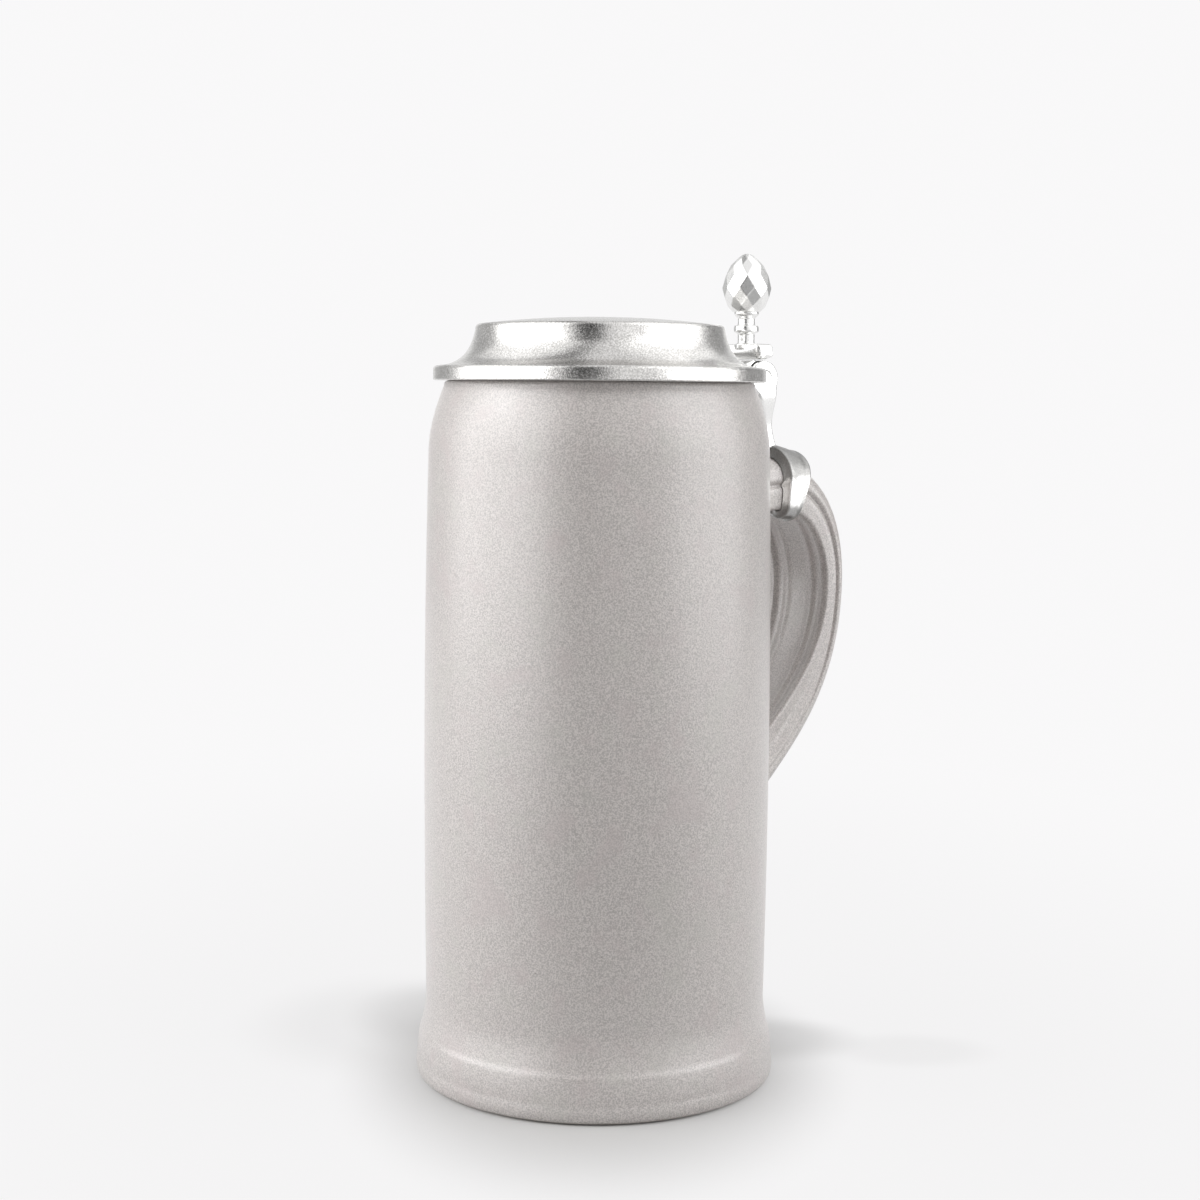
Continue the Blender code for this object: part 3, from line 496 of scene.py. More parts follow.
def grid_mesh(grid, closed_rows=False):
    """A mesh on a grid of points (rows, columns, xyz). Neighbours make four-sided faces, each row joins its
    end to its start, closed rows join the last row to the first, and a row shrunk to a point is a pole."""
    rows, columns = grid.shape[:2]
    index = np.arange(rows * columns).reshape(rows, columns)
    if closed_rows:
        index = np.vstack([index, index[:1]])
    index = np.hstack([index, index[:, :1]])
    faces = np.stack([index[:-1, :-1], index[:-1, 1:], index[1:, 1:], index[1:, :-1]], axis=-1)
    mesh = mesh_of(grid.reshape(-1, 3), faces.reshape(-1, 4))
    shape = bmesh.new()
    shape.from_mesh(mesh)
    bmesh.ops.remove_doubles(shape, verts=shape.verts, dist=WELD_DISTANCE)
    bmesh.ops.recalc_face_normals(shape, faces=shape.faces)
    shape.to_mesh(mesh)
    shape.free()
    return mesh


def linked(name, data):
    """A new object in the scene for a mesh, a lamp or a camera, which takes its name."""
    data.name = name
    made = bpy.data.objects.new(name, data)
    bpy.context.scene.collection.objects.link(made)
    return made


def piece(name, mesh, smooth_below=SMOOTH_BELOW):
    """An object for a mesh, shaded smooth except over sharp edges."""
    mesh.shade_smooth()
    mesh.set_sharp_from_angle(angle=smooth_below)
    return linked(name, mesh)


def turned(profile, steps=TURN_STEPS, centre=(0.0, 0.0)):
    """A grid: a profile (radius, height) turned round an upright axis, x = radius cos a, y = radius sin a."""
    angle = np.arange(steps) * 2 * math.pi / steps
    radius = profile[:, 0, None]
    level = np.broadcast_to(profile[:, 1, None], (len(profile), steps))
    return np.stack([centre[0] + radius * np.cos(angle), centre[1] + radius * np.sin(angle), level], axis=-1)


def turned_on_hinge(profile):
    """A grid: a profile (radius, place along Y) carried round the hinge's axis."""
    return turned(profile, ROD_STEPS, (HINGE_X, HINGE_Z))[..., [0, 2, 1]]


def carried(outlines, line, along):
    """A grid: outlines (across, outwards), one at each point of a line (x, z) and square to it there."""
    outwards = outlines[..., 1]
    return np.stack([
        line[:, 0, None] - outwards * along[:, 1, None],
        outlines[..., 0],
        line[:, 1, None] + outwards * along[:, 0, None],
    ], axis=-1)


def with_poles(grid):
    """The grid with its first and last rows closed to their middles."""
    ends = [np.broadcast_to(row.mean(axis=0), row.shape) for row in (grid[0], grid[-1])]
    return np.concatenate([ends[:1], grid, ends[1:]])


def rounded_prism(outline, half_width, rounding):
    """A grid: a closed outline (x, z) carried along Y, drawn in at both ends by a quarter round."""
    normals = closed_normals(outline)
    area = np.sum(outline[:, 0] * np.roll(outline[:, 1], -1) - outline[:, 1] * np.roll(outline[:, 0], -1))
    inwards = normals if area > 0 else -normals
    turn = np.linspace(0.0, math.pi / 2, EDGE_STEPS + 1)
    draws = rounding * (1 - np.sin(turn))
    places = half_width - rounding * (1 - np.cos(turn))
    rings = []
    for draw, place in zip(draws, places):
        flat = outline + draw * inwards
        rings.append(np.column_stack([flat[:, 0], np.full(len(flat), place), flat[:, 1]]))
    far = [ring * [1.0, -1.0, 1.0] for ring in rings[::-1]]
    return with_poles(np.stack([*rings, *far]))


def evaluated_mesh(made):
    """A copy of an object's mesh with its modifiers applied."""
    depsgraph = bpy.context.evaluated_depsgraph_get()
    return bpy.data.meshes.new_from_object(made.evaluated_get(depsgraph))


def casting(meshes, cutters, grain, ease_times=EASE_TIMES):
    """One cast piece: overlapping closed meshes run together on a fine voxel grid and eased, as metal fills a
    mould. Cutters are taken out of the first mesh before that."""
    first = linked("first_mesh", meshes[0])
    tools = [linked("cutter", cutter) for cutter in cutters]
    for tool in tools:
        boolean = first.modifiers.new("cut", "BOOLEAN")
        boolean.operation = "DIFFERENCE"
        boolean.solver = "MANIFOLD"
        boolean.object = tool
    shape = bmesh.new()
    for mesh in (evaluated_mesh(first), *meshes[1:]):
        shape.from_mesh(mesh)
    joined = bpy.data.meshes.new("joined")
    shape.to_mesh(joined)
    shape.free()
    raw = linked("raw_casting", joined)
    remesh = raw.modifiers.new("voxels", "REMESH")
    remesh.mode = "VOXEL"
    remesh.voxel_size = grain
    ease = raw.modifiers.new("ease", "SMOOTH")
    ease.factor = EASE_SHARE
    ease.iterations = ease_times
    cast = evaluated_mesh(raw)
    for helper in (first, *tools, raw):
        bpy.data.objects.remove(helper, do_unlink=True)
    return cast


# Stoneware body

def wall_radius(height):
    """Outside radius of the wall: a parabola from the belly to the neck, and another to the foot."""
    above = height > BELLY_HEIGHT
    end_height = np.where(above, NECK_Z, FOOT_HEIGHT)
    end_radius = np.where(above, NECK_RADIUS, WAIST_RADIUS)
    share = (height - BELLY_HEIGHT) / (end_height - BELLY_HEIGHT)
    return BELLY_RADIUS - (BELLY_RADIUS - end_radius) * share**2


def wall_line(inset, low):
    """The wall's side from the neck down to a height, moved in by an inset."""
    height = np.linspace(NECK_Z, low, 4 * CURVE_STEPS)
    return np.column_stack([wall_radius(height) - inset, height])


def body_profile():
    """The cup's profile: floor, inner wall, rounded lip, shoulder, wall, flared foot with a turned line and a
    small bead, and base."""
    shoulder_height = LIP_HEIGHT - SHOULDER_DROP
    corner_radius = wall_radius(FLOOR + FLOOR_FILLET) - WALL
    floor = straight((0.0, FLOOR), (corner_radius - FLOOR_FILLET, FLOOR))
    fillet = bend(floor[-1], (corner_radius, FLOOR), (corner_radius, FLOOR + FLOOR_FILLET))
    inner_wall = wall_line(WALL, FLOOR + FLOOR_FILLET)[::-1]
    inner_lip = (MOUTH_RADIUS, LIP_HEIGHT - LIP_ROUND)
    inner_shoulder = bend(inner_wall[-1], (NECK_RADIUS - WALL, shoulder_height), inner_lip)
    lip_top = (LIP_RADIUS - LIP_THICKNESS / 2, LIP_HEIGHT)
    outer_lip = (LIP_RADIUS, LIP_HEIGHT - LIP_ROUND)
    lip_in = edge_curve(inner_lip, (MOUTH_RADIUS, LIP_HEIGHT), lip_top)
    lip_out = edge_curve(lip_top, (LIP_RADIUS, LIP_HEIGHT), outer_lip)
    shoulder = bend(outer_lip, (NECK_RADIUS, shoulder_height), (NECK_RADIUS, NECK_Z), 2 * CURVE_STEPS)
    bead_radius = FOOT_RADIUS - FOOT_BEAD_DEPTH
    flare_corner = (WAIST_RADIUS, FOOT_CORNER_HEIGHT)
    flare_side = (bead_radius, FOOT_SIDE_HEIGHT)
    flare_end = (bead_radius, FOOT_BEAD_TOP)
    flare = pulled_curve((WAIST_RADIUS, FOOT_HEIGHT), flare_corner, flare_side, flare_end, 3 * CURVE_STEPS)
    line_low = FOOT_LINE_HEIGHT - FOOT_LINE_SPAN / 2
    line_high = FOOT_LINE_HEIGHT + FOOT_LINE_SPAN / 2
    flare[:, 0] -= FOOT_LINE_STEP * (smooth_step(flare[:, 1], line_low, line_high) - 0.5)
    flare[:, 0] += FOOT_LINE_STEP / 2 * smooth_step(flare[:, 1], line_high, FOOT_HEIGHT)
    flare[:, 0] -= FOOT_LINE_STEP / 2 * smooth_step(-flare[:, 1], -line_low, -FOOT_BEAD_TOP)
    bead = bend((bead_radius, FOOT_BEAD_TOP), (FOOT_RADIUS, FOOT_BEAD_HEIGHT), (bead_radius, FOOT_BEAD_UNDER))
    base_edge = (bead_radius - FOOT_EDGE, 0.0)
    edge = edge_curve(bead[-1], (bead_radius - FOOT_BEAD_DEPTH, 0.0), base_edge)
    base = straight(base_edge, (0.0, 0.0))
    inside = chain(floor, fillet, inner_wall, inner_shoulder, lip_in)
    return chain(inside, lip_out, shoulder, wall_line(0.0, FOOT_HEIGHT), flare, bead, edge, base)


def make_body():
    return piece("salt_glazed_cup", grid_mesh(turned(body_profile())))


# Stoneware handle

def handle_root(drop, rise, pull):
    """An end of the handle's middle line inside the wall, and the point that pulls the line out from it."""
    height = LIP_HEIGHT - drop
    end = np.array([wall_radius(height) - HANDLE_ROOT_DEPTH, height])
    return end, end + pull * np.array([math.cos(rise), math.sin(rise)])


def handle_line():
    """The handle's middle line (x, z): two cubic curves from inside the wall at the top, out and in again."""
    top, top_pull = handle_root(HANDLE_TOP_DROP, HANDLE_TOP_RISE, HANDLE_TOP_PULL)
    low, low_pull = handle_root(HANDLE_LOW_DROP, HANDLE_LOW_RISE, HANDLE_LOW_PULL)
    wide = np.array([BELLY_RADIUS + HANDLE_REACH, LIP_HEIGHT - HANDLE_WIDE_DROP])
    upper = pulled_curve(top, top_pull, wide + [0.0, HANDLE_UPPER_PULL], wide, HANDLE_STATIONS)
    lower = pulled_curve(wide, wide - [0.0, HANDLE_LOWER_PULL], low_pull, low, HANDLE_STATIONS)
    return chain(upper, lower)


HANDLE_LINE = handle_line()
HANDLE_LENGTHS = line_lengths(HANDLE_LINE)
HANDLE_SLOPES = np.gradient(HANDLE_LINE, HANDLE_LENGTHS, axis=0)


def strap_sections(distance, carving):
    """Smooth sections of the handle (stations, points, (across, outwards)): a full oval back, a groove and a
    flat bead on each side, and a reeded inner face that stands further in towards the low end, run through
    by closed Catmull-Rom curves. Carving scales the depth of the grooves and reeds."""
    share = distance / HANDLE_LENGTHS[-1]
    half = np.polyval(np.polyfit(HANDLE_WIDTH_SHARES, HANDLE_WIDTHS, 2), share) / 2
    eased = smooth_step(distance, HANDLE_TAPER_FROM, HANDLE_TAPER_TO)
    rise = (HANDLE_THICK_TOP + (HANDLE_THICK_LOW - HANDLE_THICK_TOP) * eased) / 2
    reed = carving * HANDLE_REED
    low = smooth_step(share, *HANDLE_STEP_SHARES)
    step = HANDLE_STEP * low
    groove = HANDLE_GROOVE * (1 - HANDLE_GROOVE_LOSS * low)
    low_groove = carving * HANDLE_LOW_GROOVE * low
    turn = np.linspace(0.0, HANDLE_BACK_END, HANDLE_BACK_CORNERS)
    across = [half * math.sin(angle) ** HANDLE_BACK_FULLNESS for angle in turn]
    outwards = [rise * math.cos(angle) ** HANDLE_BACK_FULLNESS for angle in turn]
    bead_top, bead_side, bead_end = (half - inset * HANDLE_BEAD for inset in HANDLE_BEAD_INSETS)
    across += [HANDLE_SIDE_FLAT * half, half - carving * groove, half]
    across += [bead_top - low_groove, bead_side, bead_end, bead_end - HANDLE_FLUTE]
    across += [place * half for place in HANDLE_REED_PLACES]
    outwards += [level * rise - drop * step for level, drop in zip(HANDLE_SIDE_LEVELS, HANDLE_SIDE_STEPS)]
    outwards += [lift * reed - rise - step for lift in HANDLE_REED_LIFTS]
    right = np.stack([np.stack(across, axis=1), np.stack(outwards, axis=1)], axis=-1)
    corners = np.concatenate([right, right[:, :0:-1] * [-1.0, 1.0]], axis=1)
    before, after, last = (np.roll(corners, shift, axis=1) for shift in (1, -1, -2))
    stretches = []
    for part in np.arange(HANDLE_CORNER_STEPS) / HANDLE_CORNER_STEPS:
        bow = 2 * before - 5 * corners + 4 * after - last
        twist = 3 * (corners - after) + last - before
        stretches.append(corners + 0.5 * ((after - before) * part + bow * part**2 + twist * part**3))
    return np.stack(stretches, axis=2).reshape(len(distance), -1, 2)


def strap_points(distance, grow=0.0, crown=0.0, carving=1.0):
    """The handle's sections in space, at distances along its middle line. Grow moves a section outwards along
    its normals, crown raises its back by the square of its height, and carving is as above."""
    carving = np.broadcast_to(carving, distance.shape)
    outline = strap_sections(distance, carving)
    height = np.clip(outline[..., 1] / outline[..., 1].max(axis=1, keepdims=True), 0.0, 1.0)
    outline = outline + np.broadcast_to(grow, outline.shape[:2])[..., None] * closed_normals(outline)
    outline[..., 1] += np.broadcast_to(crown, distance.shape)[:, None] * height**2
    middle, along = (
        np.column_stack([np.interp(distance, HANDLE_LENGTHS, column) for column in values.T])
        for values in (HANDLE_LINE, HANDLE_SLOPES)
    )
    return carried(outline, middle, along / np.linalg.norm(along, axis=1)[:, None])


def make_handle():
    """The clay strap along its middle line. Towards its low end the reeds fade out. Near the wall it grows
    in a round fillet, as a root smoothed with a wet finger, and what lies too deep in the wall is drawn back
    towards its skin."""
    distance = np.linspace(0.0, HANDLE_LENGTHS[-1], 2 * HANDLE_STATIONS + 1)
    left = HANDLE_LENGTHS[-1] - distance
    carving = smooth_step(left, ROOT_PLAIN_TO, ROOT_PLAIN_FROM)
    plain = strap_points(distance, carving=carving)
    clear = np.hypot(plain[..., 0], plain[..., 1]) - wall_radius(plain[..., 2])
    near = np.clip(1 - clear / ROOT_FILLET, 0.0, 1.0)
    grid = strap_points(distance, grow=ROOT_FILLET * (1 - np.sqrt(1 - near**2)), carving=carving)
    deepest = wall_radius(grid[..., 2]) - ROOT_BURIED
    push = np.maximum(1.0, deepest / np.hypot(grid[..., 0], grid[..., 1]))
    grid[..., :2] *= push[..., None]
    return piece("luted_handle", grid_mesh(with_poles(grid)))


# Pewter band

def band_distance():
    """Distance along the handle's middle line to the middle of the band."""
    upper = HANDLE_LINE[: HANDLE_STATIONS + 1]
    stand = wall_radius(LIP_HEIGHT - HANDLE_TOP_DROP) + BAND_STANDOFF
    return float(np.interp(stand, upper[:, 0], line_lengths(upper)))


def make_band():
    """A collar: a rounded oblong section (along the handle, out from it), with a lip along its far edge,
    carried round the handle. Its outside is plain, crowned and a little uneven."""
    reach = BAND_WIDTH / 2
    inner = CLEARANCE
    outer = CLEARANCE + BAND_THICK
    near = BAND_NEAR_SLOPE - reach
    near_edge = eased((near, outer), (0.0, -BAND_ROUND), (BAND_ROUND, 0.0))
    lip_foot = (reach - BAND_LIP_WIDTH - BAND_ROUND, outer)
    lip_top = (reach - BAND_LIP_WIDTH / 2, outer + BAND_LIP_RISE)
    lip_rise = edge_curve(lip_foot, (reach - BAND_LIP_WIDTH, outer), lip_top)
    far_edge = edge_curve(lip_top, (reach, outer + BAND_LIP_RISE), (reach, outer - BAND_ROUND))
    under = straight((reach, inner), (-reach, inner), EDGE_STEPS)
    section = chain(near_edge, straight(near_edge[-1], lip_foot), lip_rise, far_edge, under)
    distance = band_distance() + section[:, 0]
    share = smooth_step(section[:, 1], inner, outer)
    plain = strap_points(distance, section[:, 1, None], BAND_CROWN * share, 1 - share)
    lumps = BAND_UNEVEN * share[:, None] * uneven(plain, BAND_UNEVEN_SIZE, BAND_UNEVEN_SEED)
    grid = strap_points(distance, section[:, 1, None] + lumps, BAND_CROWN * share, 1 - share)
    return piece("cast_band", grid_mesh(grid, closed_rows=True))


# Hinge

def shank_line():
    """The shank's middle line (x, z): a cubic curve from the hinge's axis down to its foot in the band."""
    distance = np.array([band_distance() - SHANK_FOOT_SHIFT])
    foot = strap_points(distance, CLEARANCE + BAND_THICK - SHANK_FOOT_SINK, BAND_CROWN, 0.0)[0, 0, [0, 2]]
    start = np.array([HINGE_X + KNUCKLE_RADIUS - SHANK_BACK - SHANK_THICK / 2, HINGE_Z])
    foot_pull = foot + SHANK_FOOT_PULL * np.array([-math.sin(SHANK_FOOT_LEAN), math.cos(SHANK_FOOT_LEAN)])
    return pulled_curve(start, start - [0.0, SHANK_DROP], foot_pull, foot, SHANK_STATIONS)


def shank_plate():
    """The upright: a rounded oblong section carried down its middle line. From the rings it narrows to its
    foot, and its two faces draw together like the sides of a drop."""
    line = shank_line()
    lengths = line_lengths(line)
    share = lengths / lengths[-1]
    along = np.gradient(line, lengths, axis=0)
    taper = smooth_step(share, *SHANK_TAPER_SHARES)
    flare = SHANK_FOOT_FLARE * smooth_step(share, *SHANK_FLARE_SHARES) ** 2
    half = (HINGE_WIDTH + (SHANK_FOOT_WIDTH - HINGE_WIDTH) * taper) / 2 + flare
    rise = (SHANK_THICK + (SHANK_FOOT_THICK - SHANK_THICK) * share) / 2 + flare
    outer = rise + DROP_OUTER * (1 - smooth_step(share, *DROP_OUTER_SHARES))
    inner = rise + DROP_INNER * (1 - smooth_step(share, *DROP_INNER_SHARES))
    corner = SHANK_ROUND * (edge_curve((1.0, 0.0), (1.0, 1.0), (0.0, 1.0)) - 1.0)
    sides = []
    for height, turn in ((outer, 1.0), (inner, -1.0)):
        quarter = np.stack([half[:, None] + corner[:, 0], height[:, None] + corner[:, 1]], axis=-1)
        face = np.concatenate([quarter, quarter[:, ::-1] * [-1.0, 1.0]], axis=1)
        sides.append(face[:, :: int(turn)] * [1.0, turn])
    return grid_mesh(with_poles(carried(np.concatenate(sides, axis=1), line, along)))


def ring_profile(inner, outer, pocket):
    """A hinge ring's section (radius, place along Y) from its inner face to its outer face, with eased edges,
    a bore and, if asked, a pocket for a plug in the outer face."""
    low = eased((KNUCKLE_RADIUS, inner), (-KNUCKLE_EDGE, 0.0), (0.0, KNUCKLE_EDGE))
    high = eased((KNUCKLE_RADIUS, outer), (0.0, -KNUCKLE_EDGE), (-KNUCKLE_EDGE, 0.0))
    end = [(BORE_RADIUS, outer)]
    if pocket:
        wide = PLUG_RADIUS + PLUG_GAP
        end = [(wide, outer), (wide, outer - PLUG_DEPTH), (BORE_RADIUS, outer - PLUG_DEPTH)]
    return chain(low, high, end, [(BORE_RADIUS, inner)])


def make_shank():
    """The upright and its two outer rings, with room for the middle ring between them."""
    slot_side = MIDDLE_WIDTH / 2 + CLEARANCE
    section = ring_profile(slot_side, HINGE_WIDTH / 2, pocket=True)
    rings = [grid_mesh(turned_on_hinge(section * [1.0, side]), closed_rows=True) for side in (-1, 1)]
    slot_radius = KNUCKLE_RADIUS + CLEARANCE
    slot = [(0.0, -slot_side), (slot_radius, -slot_side), (slot_radius, slot_side), (0.0, slot_side)]
    cutter = grid_mesh(turned_on_hinge(np.array(slot)))
    return piece("cast_shank", casting([shank_plate(), *rings], [cutter], SHANK_GRAIN, SHANK_EASE_TIMES))


def make_plug(name, side):
    """A plug in a ring's pocket: a disc with an eased edge, flush with the ring's face."""
    face = HINGE_WIDTH / 2
    back = face - PLUG_DEPTH + CLEARANCE
    edge = eased((PLUG_RADIUS, face), (0.0, -PLUG_EDGE), (-PLUG_EDGE, 0.0))
    profile = chain([(0.0, back), (PLUG_RADIUS, back)], edge, [(0.0, face)])
    return piece(name, grid_mesh(turned_on_hinge(profile * [1.0, side])))


def make_tang():
    """The wedge from the lid's rim to the hinge, cleared for the outer rings, with the middle ring."""
    front = HINGE_X - PLATFORM_DEPTH / 2
    tip = RIM_RADIUS - TANG_TONGUE_REACH
    bottom = RIM_BOTTOM + TANG_HOOK_DROP
    back = HINGE_X - TANG_RING_LAP
    saddle = (RIM_RADIUS, RIM_TOP + TANG_SADDLE_RISE)
    corners = [(back, bottom), (back, KNUCKLE_TOP), (front, KNUCKLE_TOP), saddle,
               (tip, LEDGE_TOP + TANG_TONGUE_RISE), (tip, bottom), (back, bottom)]
    outline = chain(*(straight(start, end) for start, end in zip(corners, corners[1:])))[:-1]
    wedge = grid_mesh(rounded_prism(outline, TANG_WIDTH / 2, TANG_ROUND))
    web_side = MIDDLE_WIDTH / 2 - TANG_WEB_INSET
    room = KNUCKLE_RADIUS + CLEARANCE
    cutters = []
    for side in (-1, 1):
        box = np.array([(0.0, web_side), (room, web_side), (room, HINGE_WIDTH), (0.0, HINGE_WIDTH)])
        cutters.append(grid_mesh(turned_on_hinge(box * [1.0, side])))
    section = ring_profile(-MIDDLE_WIDTH / 2, MIDDLE_WIDTH / 2, pocket=False)
    ring = grid_mesh(turned_on_hinge(section), closed_rows=True)
    return piece("cast_tang", casting([wedge, ring], cutters, TANG_GRAIN))


# Pewter lid

def lid_profile():
    """The lid's profile: dome, shoulder, drum with its cove, rim band with a drip edge, underside, flange and
    hollow."""
    dome_radius = LID_TOP_RADIUS - LID_SHOULDER
    share = np.linspace(0.0, 1.0, 2 * CURVE_STEPS)
    dome = np.column_stack([dome_radius * share, DOME_EDGE + LID_DOME * (1 - share**2)])
    shoulder = bend(dome[-1], (LID_TOP_RADIUS, DOME_EDGE), (LID_TOP_RADIUS, DRUM_TOP))
    cove_foot = (RIM_RADIUS - RIM_LEDGE, LEDGE_TOP)
    cove_corner = (LID_TOP_RADIUS + COVE_CORNER_IN, LEDGE_TOP + COVE_CORNER_RISE)
    cove = bend(shoulder[-1], cove_corner, cove_foot, 3 * CURVE_STEPS)
    top_edge = eased((RIM_RADIUS, RIM_TOP), (-RIM_ROUND, 0.0), (0.0, -RIM_ROUND))
    low_edge = eased((RIM_RADIUS, RIM_BOTTOM - RIM_DRIP), (0.0, RIM_LOW_ROUND), (-RIM_LOW_ROUND, 0.0))
    underside = chain(straight(low_edge[-1], (LIP_RADIUS, RIM_BOTTOM)), [(FLANGE_RADIUS, RIM_BOTTOM)])
    bottom = RIM_BOTTOM - FLANGE_DEPTH
    flange_inner = FLANGE_RADIUS - FLANGE_WALL
    flange_out = eased((FLANGE_RADIUS, bottom), (0.0, FLANGE_ROUND), (-FLANGE_ROUND, 0.0))
    flange_in = eased((flange_inner, bottom), (FLANGE_ROUND, 0.0), (0.0, FLANGE_ROUND))
    drum_radius = LID_TOP_RADIUS - LID_WALL
    drum_top = (drum_radius, DRUM_TOP - LID_WALL)
    dome_edge = (drum_radius - LID_SHOULDER, DOME_EDGE - LID_WALL)
    hollow_cove = bend((flange_inner, RIM_BOTTOM), (drum_radius, RIM_TOP), drum_top)
    hollow_edge = bend(drum_top, (drum_radius, DOME_EDGE - LID_WALL), dome_edge)
    ceiling = np.column_stack([dome_edge[0] * (1 - share), dome_edge[1] + LID_DOME * (1 - (1 - share) ** 2)])
    outside = chain(dome, shoulder, cove, top_edge, low_edge, underside)
    return chain(outside, flange_out, flange_in, hollow_cove, hollow_edge, ceiling)


def make_lid():
    return piece("spun_lid", grid_mesh(turned(lid_profile())), LID_SMOOTH_BELOW)


# Thumb lift

def platform_mesh():
    """The platform's side (x, z) with a round nose over an undercut and a heel that clears the shank when the
    lid is up, carried across the hinge with round ends."""
    front = HINGE_X - PLATFORM_DEPTH / 2
    back = HINGE_X + PLATFORM_DEPTH / 2
    undercut = front + PLATFORM_UNDERCUT
    round_low = PLATFORM_TOP - PLATFORM_ROUND
    nose_low = (front + PLATFORM_NOSE_IN, round_low - PLATFORM_NOSE)
    back_low = (back, PLATFORM_BOTTOM + PLATFORM_HEEL_LIFT)
    heel = (back - PLATFORM_HEEL, PLATFORM_BOTTOM)
    top_end = (back - PLATFORM_ROUND, PLATFORM_TOP)
    nose_top = (front + PLATFORM_ROUND, PLATFORM_TOP)
    outline = chain(
        straight(back_low, (back, round_low)),
        bend((back, round_low), (back, PLATFORM_TOP), top_end),
        straight(top_end, nose_top),
        bend(nose_top, (front, PLATFORM_TOP), nose_low),
        bend(nose_low, (undercut, PLATFORM_BOTTOM + PLATFORM_ROUND), (undercut, PLATFORM_BOTTOM)),
        straight((undercut, PLATFORM_BOTTOM), heel),
        straight(heel, back_low)[:-1],
    )
    return grid_mesh(rounded_prism(outline, HINGE_WIDTH / 2, PLATFORM_END_ROUND))


def stem_mesh():
    """The stem's side (radius, height), turned: a cup under the knob, two necks and a round collar."""
    lower_top = PLATFORM_TOP + LOWER_NECK
    collar_top = lower_top + COLLAR_HEIGHT
    upper_top = collar_top + UPPER_NECK
    cup_top = upper_top + CUP_HEIGHT
    flare = STEM_RADIUS + STEM_FLARE
    collar_side = (COLLAR_RADIUS, (lower_top + collar_top) / 2)
    cup_side = (CUP_RADIUS, cup_top)
    sunk = PLATFORM_TOP - STEM_SINK
    top = cup_top + CUP_HEIGHT
    profile = chain(
        [(0.0, top), (STEM_RADIUS, top)],
        edge_curve((STEM_RADIUS, top), (CUP_RADIUS, top), cup_side),
        edge_curve(cup_side, (CUP_RADIUS, upper_top), (STEM_RADIUS, upper_top - STEM_FLARE)),
        eased((STEM_RADIUS, collar_top), (0.0, STEM_FLARE), (STEM_FLARE, 0.0)),
        edge_curve((flare, collar_top), (COLLAR_RADIUS, collar_top), collar_side),
        edge_curve(collar_side, (COLLAR_RADIUS, lower_top), (flare, lower_top)),
        eased((STEM_RADIUS, lower_top), (STEM_FLARE, 0.0), (0.0, -STEM_FLARE)),
        eased((STEM_RADIUS, PLATFORM_TOP), (0.0, STEM_FLARE), (STEM_FLARE, 0.0)),
        [(flare, sunk), (0.0, sunk)],
    )
    return grid_mesh(turned(profile, ROD_STEPS, (STEM_X, 0.0)))


def make_platform():
    return piece("thumb_platform", casting([platform_mesh(), stem_mesh()], [], PLATFORM_GRAIN))


def egg_radius(share):
    """The knob's radius at shares of its height: from its base it swells by a power of the way to its widest
    part, then closes as a blunted ellipse, and as a small ball at its tip."""
    below = np.clip(1 - share / KNOB_WIDEST, 0.0, 1.0)
    above = np.clip((share - KNOB_WIDEST) / (1 - KNOB_WIDEST), 0.0, 1.0)
    swell = KNOB_RADIUS - (KNOB_RADIUS - KNOB_BASE_RADIUS) * below**KNOB_SWELL
    ball = np.sqrt(2 * KNOB_TIP_CURVE * KNOB_HEIGHT * (1 - share))
    tip = np.minimum(ball, KNOB_TIP_SHARE * KNOB_RADIUS)
    closing = np.maximum(KNOB_RADIUS * (1 - above**2) ** KNOB_BLUNTNESS, tip)
    return np.where(share < KNOB_WIDEST, swell, closing)


def make_knob():
    """The cut knob: rings of corners on the egg, each turned half a column from the last, and a blunt tip. A
    ring's side, the corner below it and the corner above it make one diamond, and the ridges are bevelled."""
    column = 2 * math.pi / KNOB_COLUMNS
    rows = np.arange(len(KNOB_LEVELS))
    angle = KNOB_TURN + (np.arange(KNOB_COLUMNS) + 0.5 * ((rows[:, None] + 1) % 2)) * column
    radius = egg_radius(KNOB_LEVELS)[:, None]
    height = np.broadcast_to(KNOB_BOTTOM + KNOB_LEVELS[:, None] * KNOB_HEIGHT, angle.shape)
    rings = np.stack([STEM_X + radius * np.cos(angle), radius * np.sin(angle), height], axis=-1)
    points = np.vstack([rings.reshape(-1, 3), [(STEM_X, 0.0, KNOB_BOTTOM + KNOB_HEIGHT)]])
    index = np.arange(len(rows) * KNOB_COLUMNS).reshape(len(rows), KNOB_COLUMNS)
    following = np.roll(index, -1, axis=1)
    tip = np.full(KNOB_COLUMNS, len(points) - 1)
    faces = [index[0].tolist()]
    for row in rows:
        between = following if row % 2 == 0 else index
        top = tip if row == rows[-1] else between[row + 1]
        corners = [index[row], following[row], top]
        if row > 0:
            corners.insert(1, between[row - 1])
        faces += np.stack(corners, axis=1).tolist()
    mesh = mesh_of(points, faces)
    shape = bmesh.new()
    shape.from_mesh(mesh)
    bmesh.ops.recalc_face_normals(shape, faces=shape.faces)
    bmesh.ops.bevel(shape, geom=shape.edges[:], offset=KNOB_RIDGE, segments=KNOB_RIDGE_STEPS,
                    profile=KNOB_RIDGE_FULLNESS, affect="EDGES")
    bmesh.ops.recalc_face_normals(shape, faces=shape.faces)
    shape.to_mesh(mesh)
    shape.free()
    return piece("cut_knob", mesh, KNOB_SMOOTH_BELOW)


# Shader maths

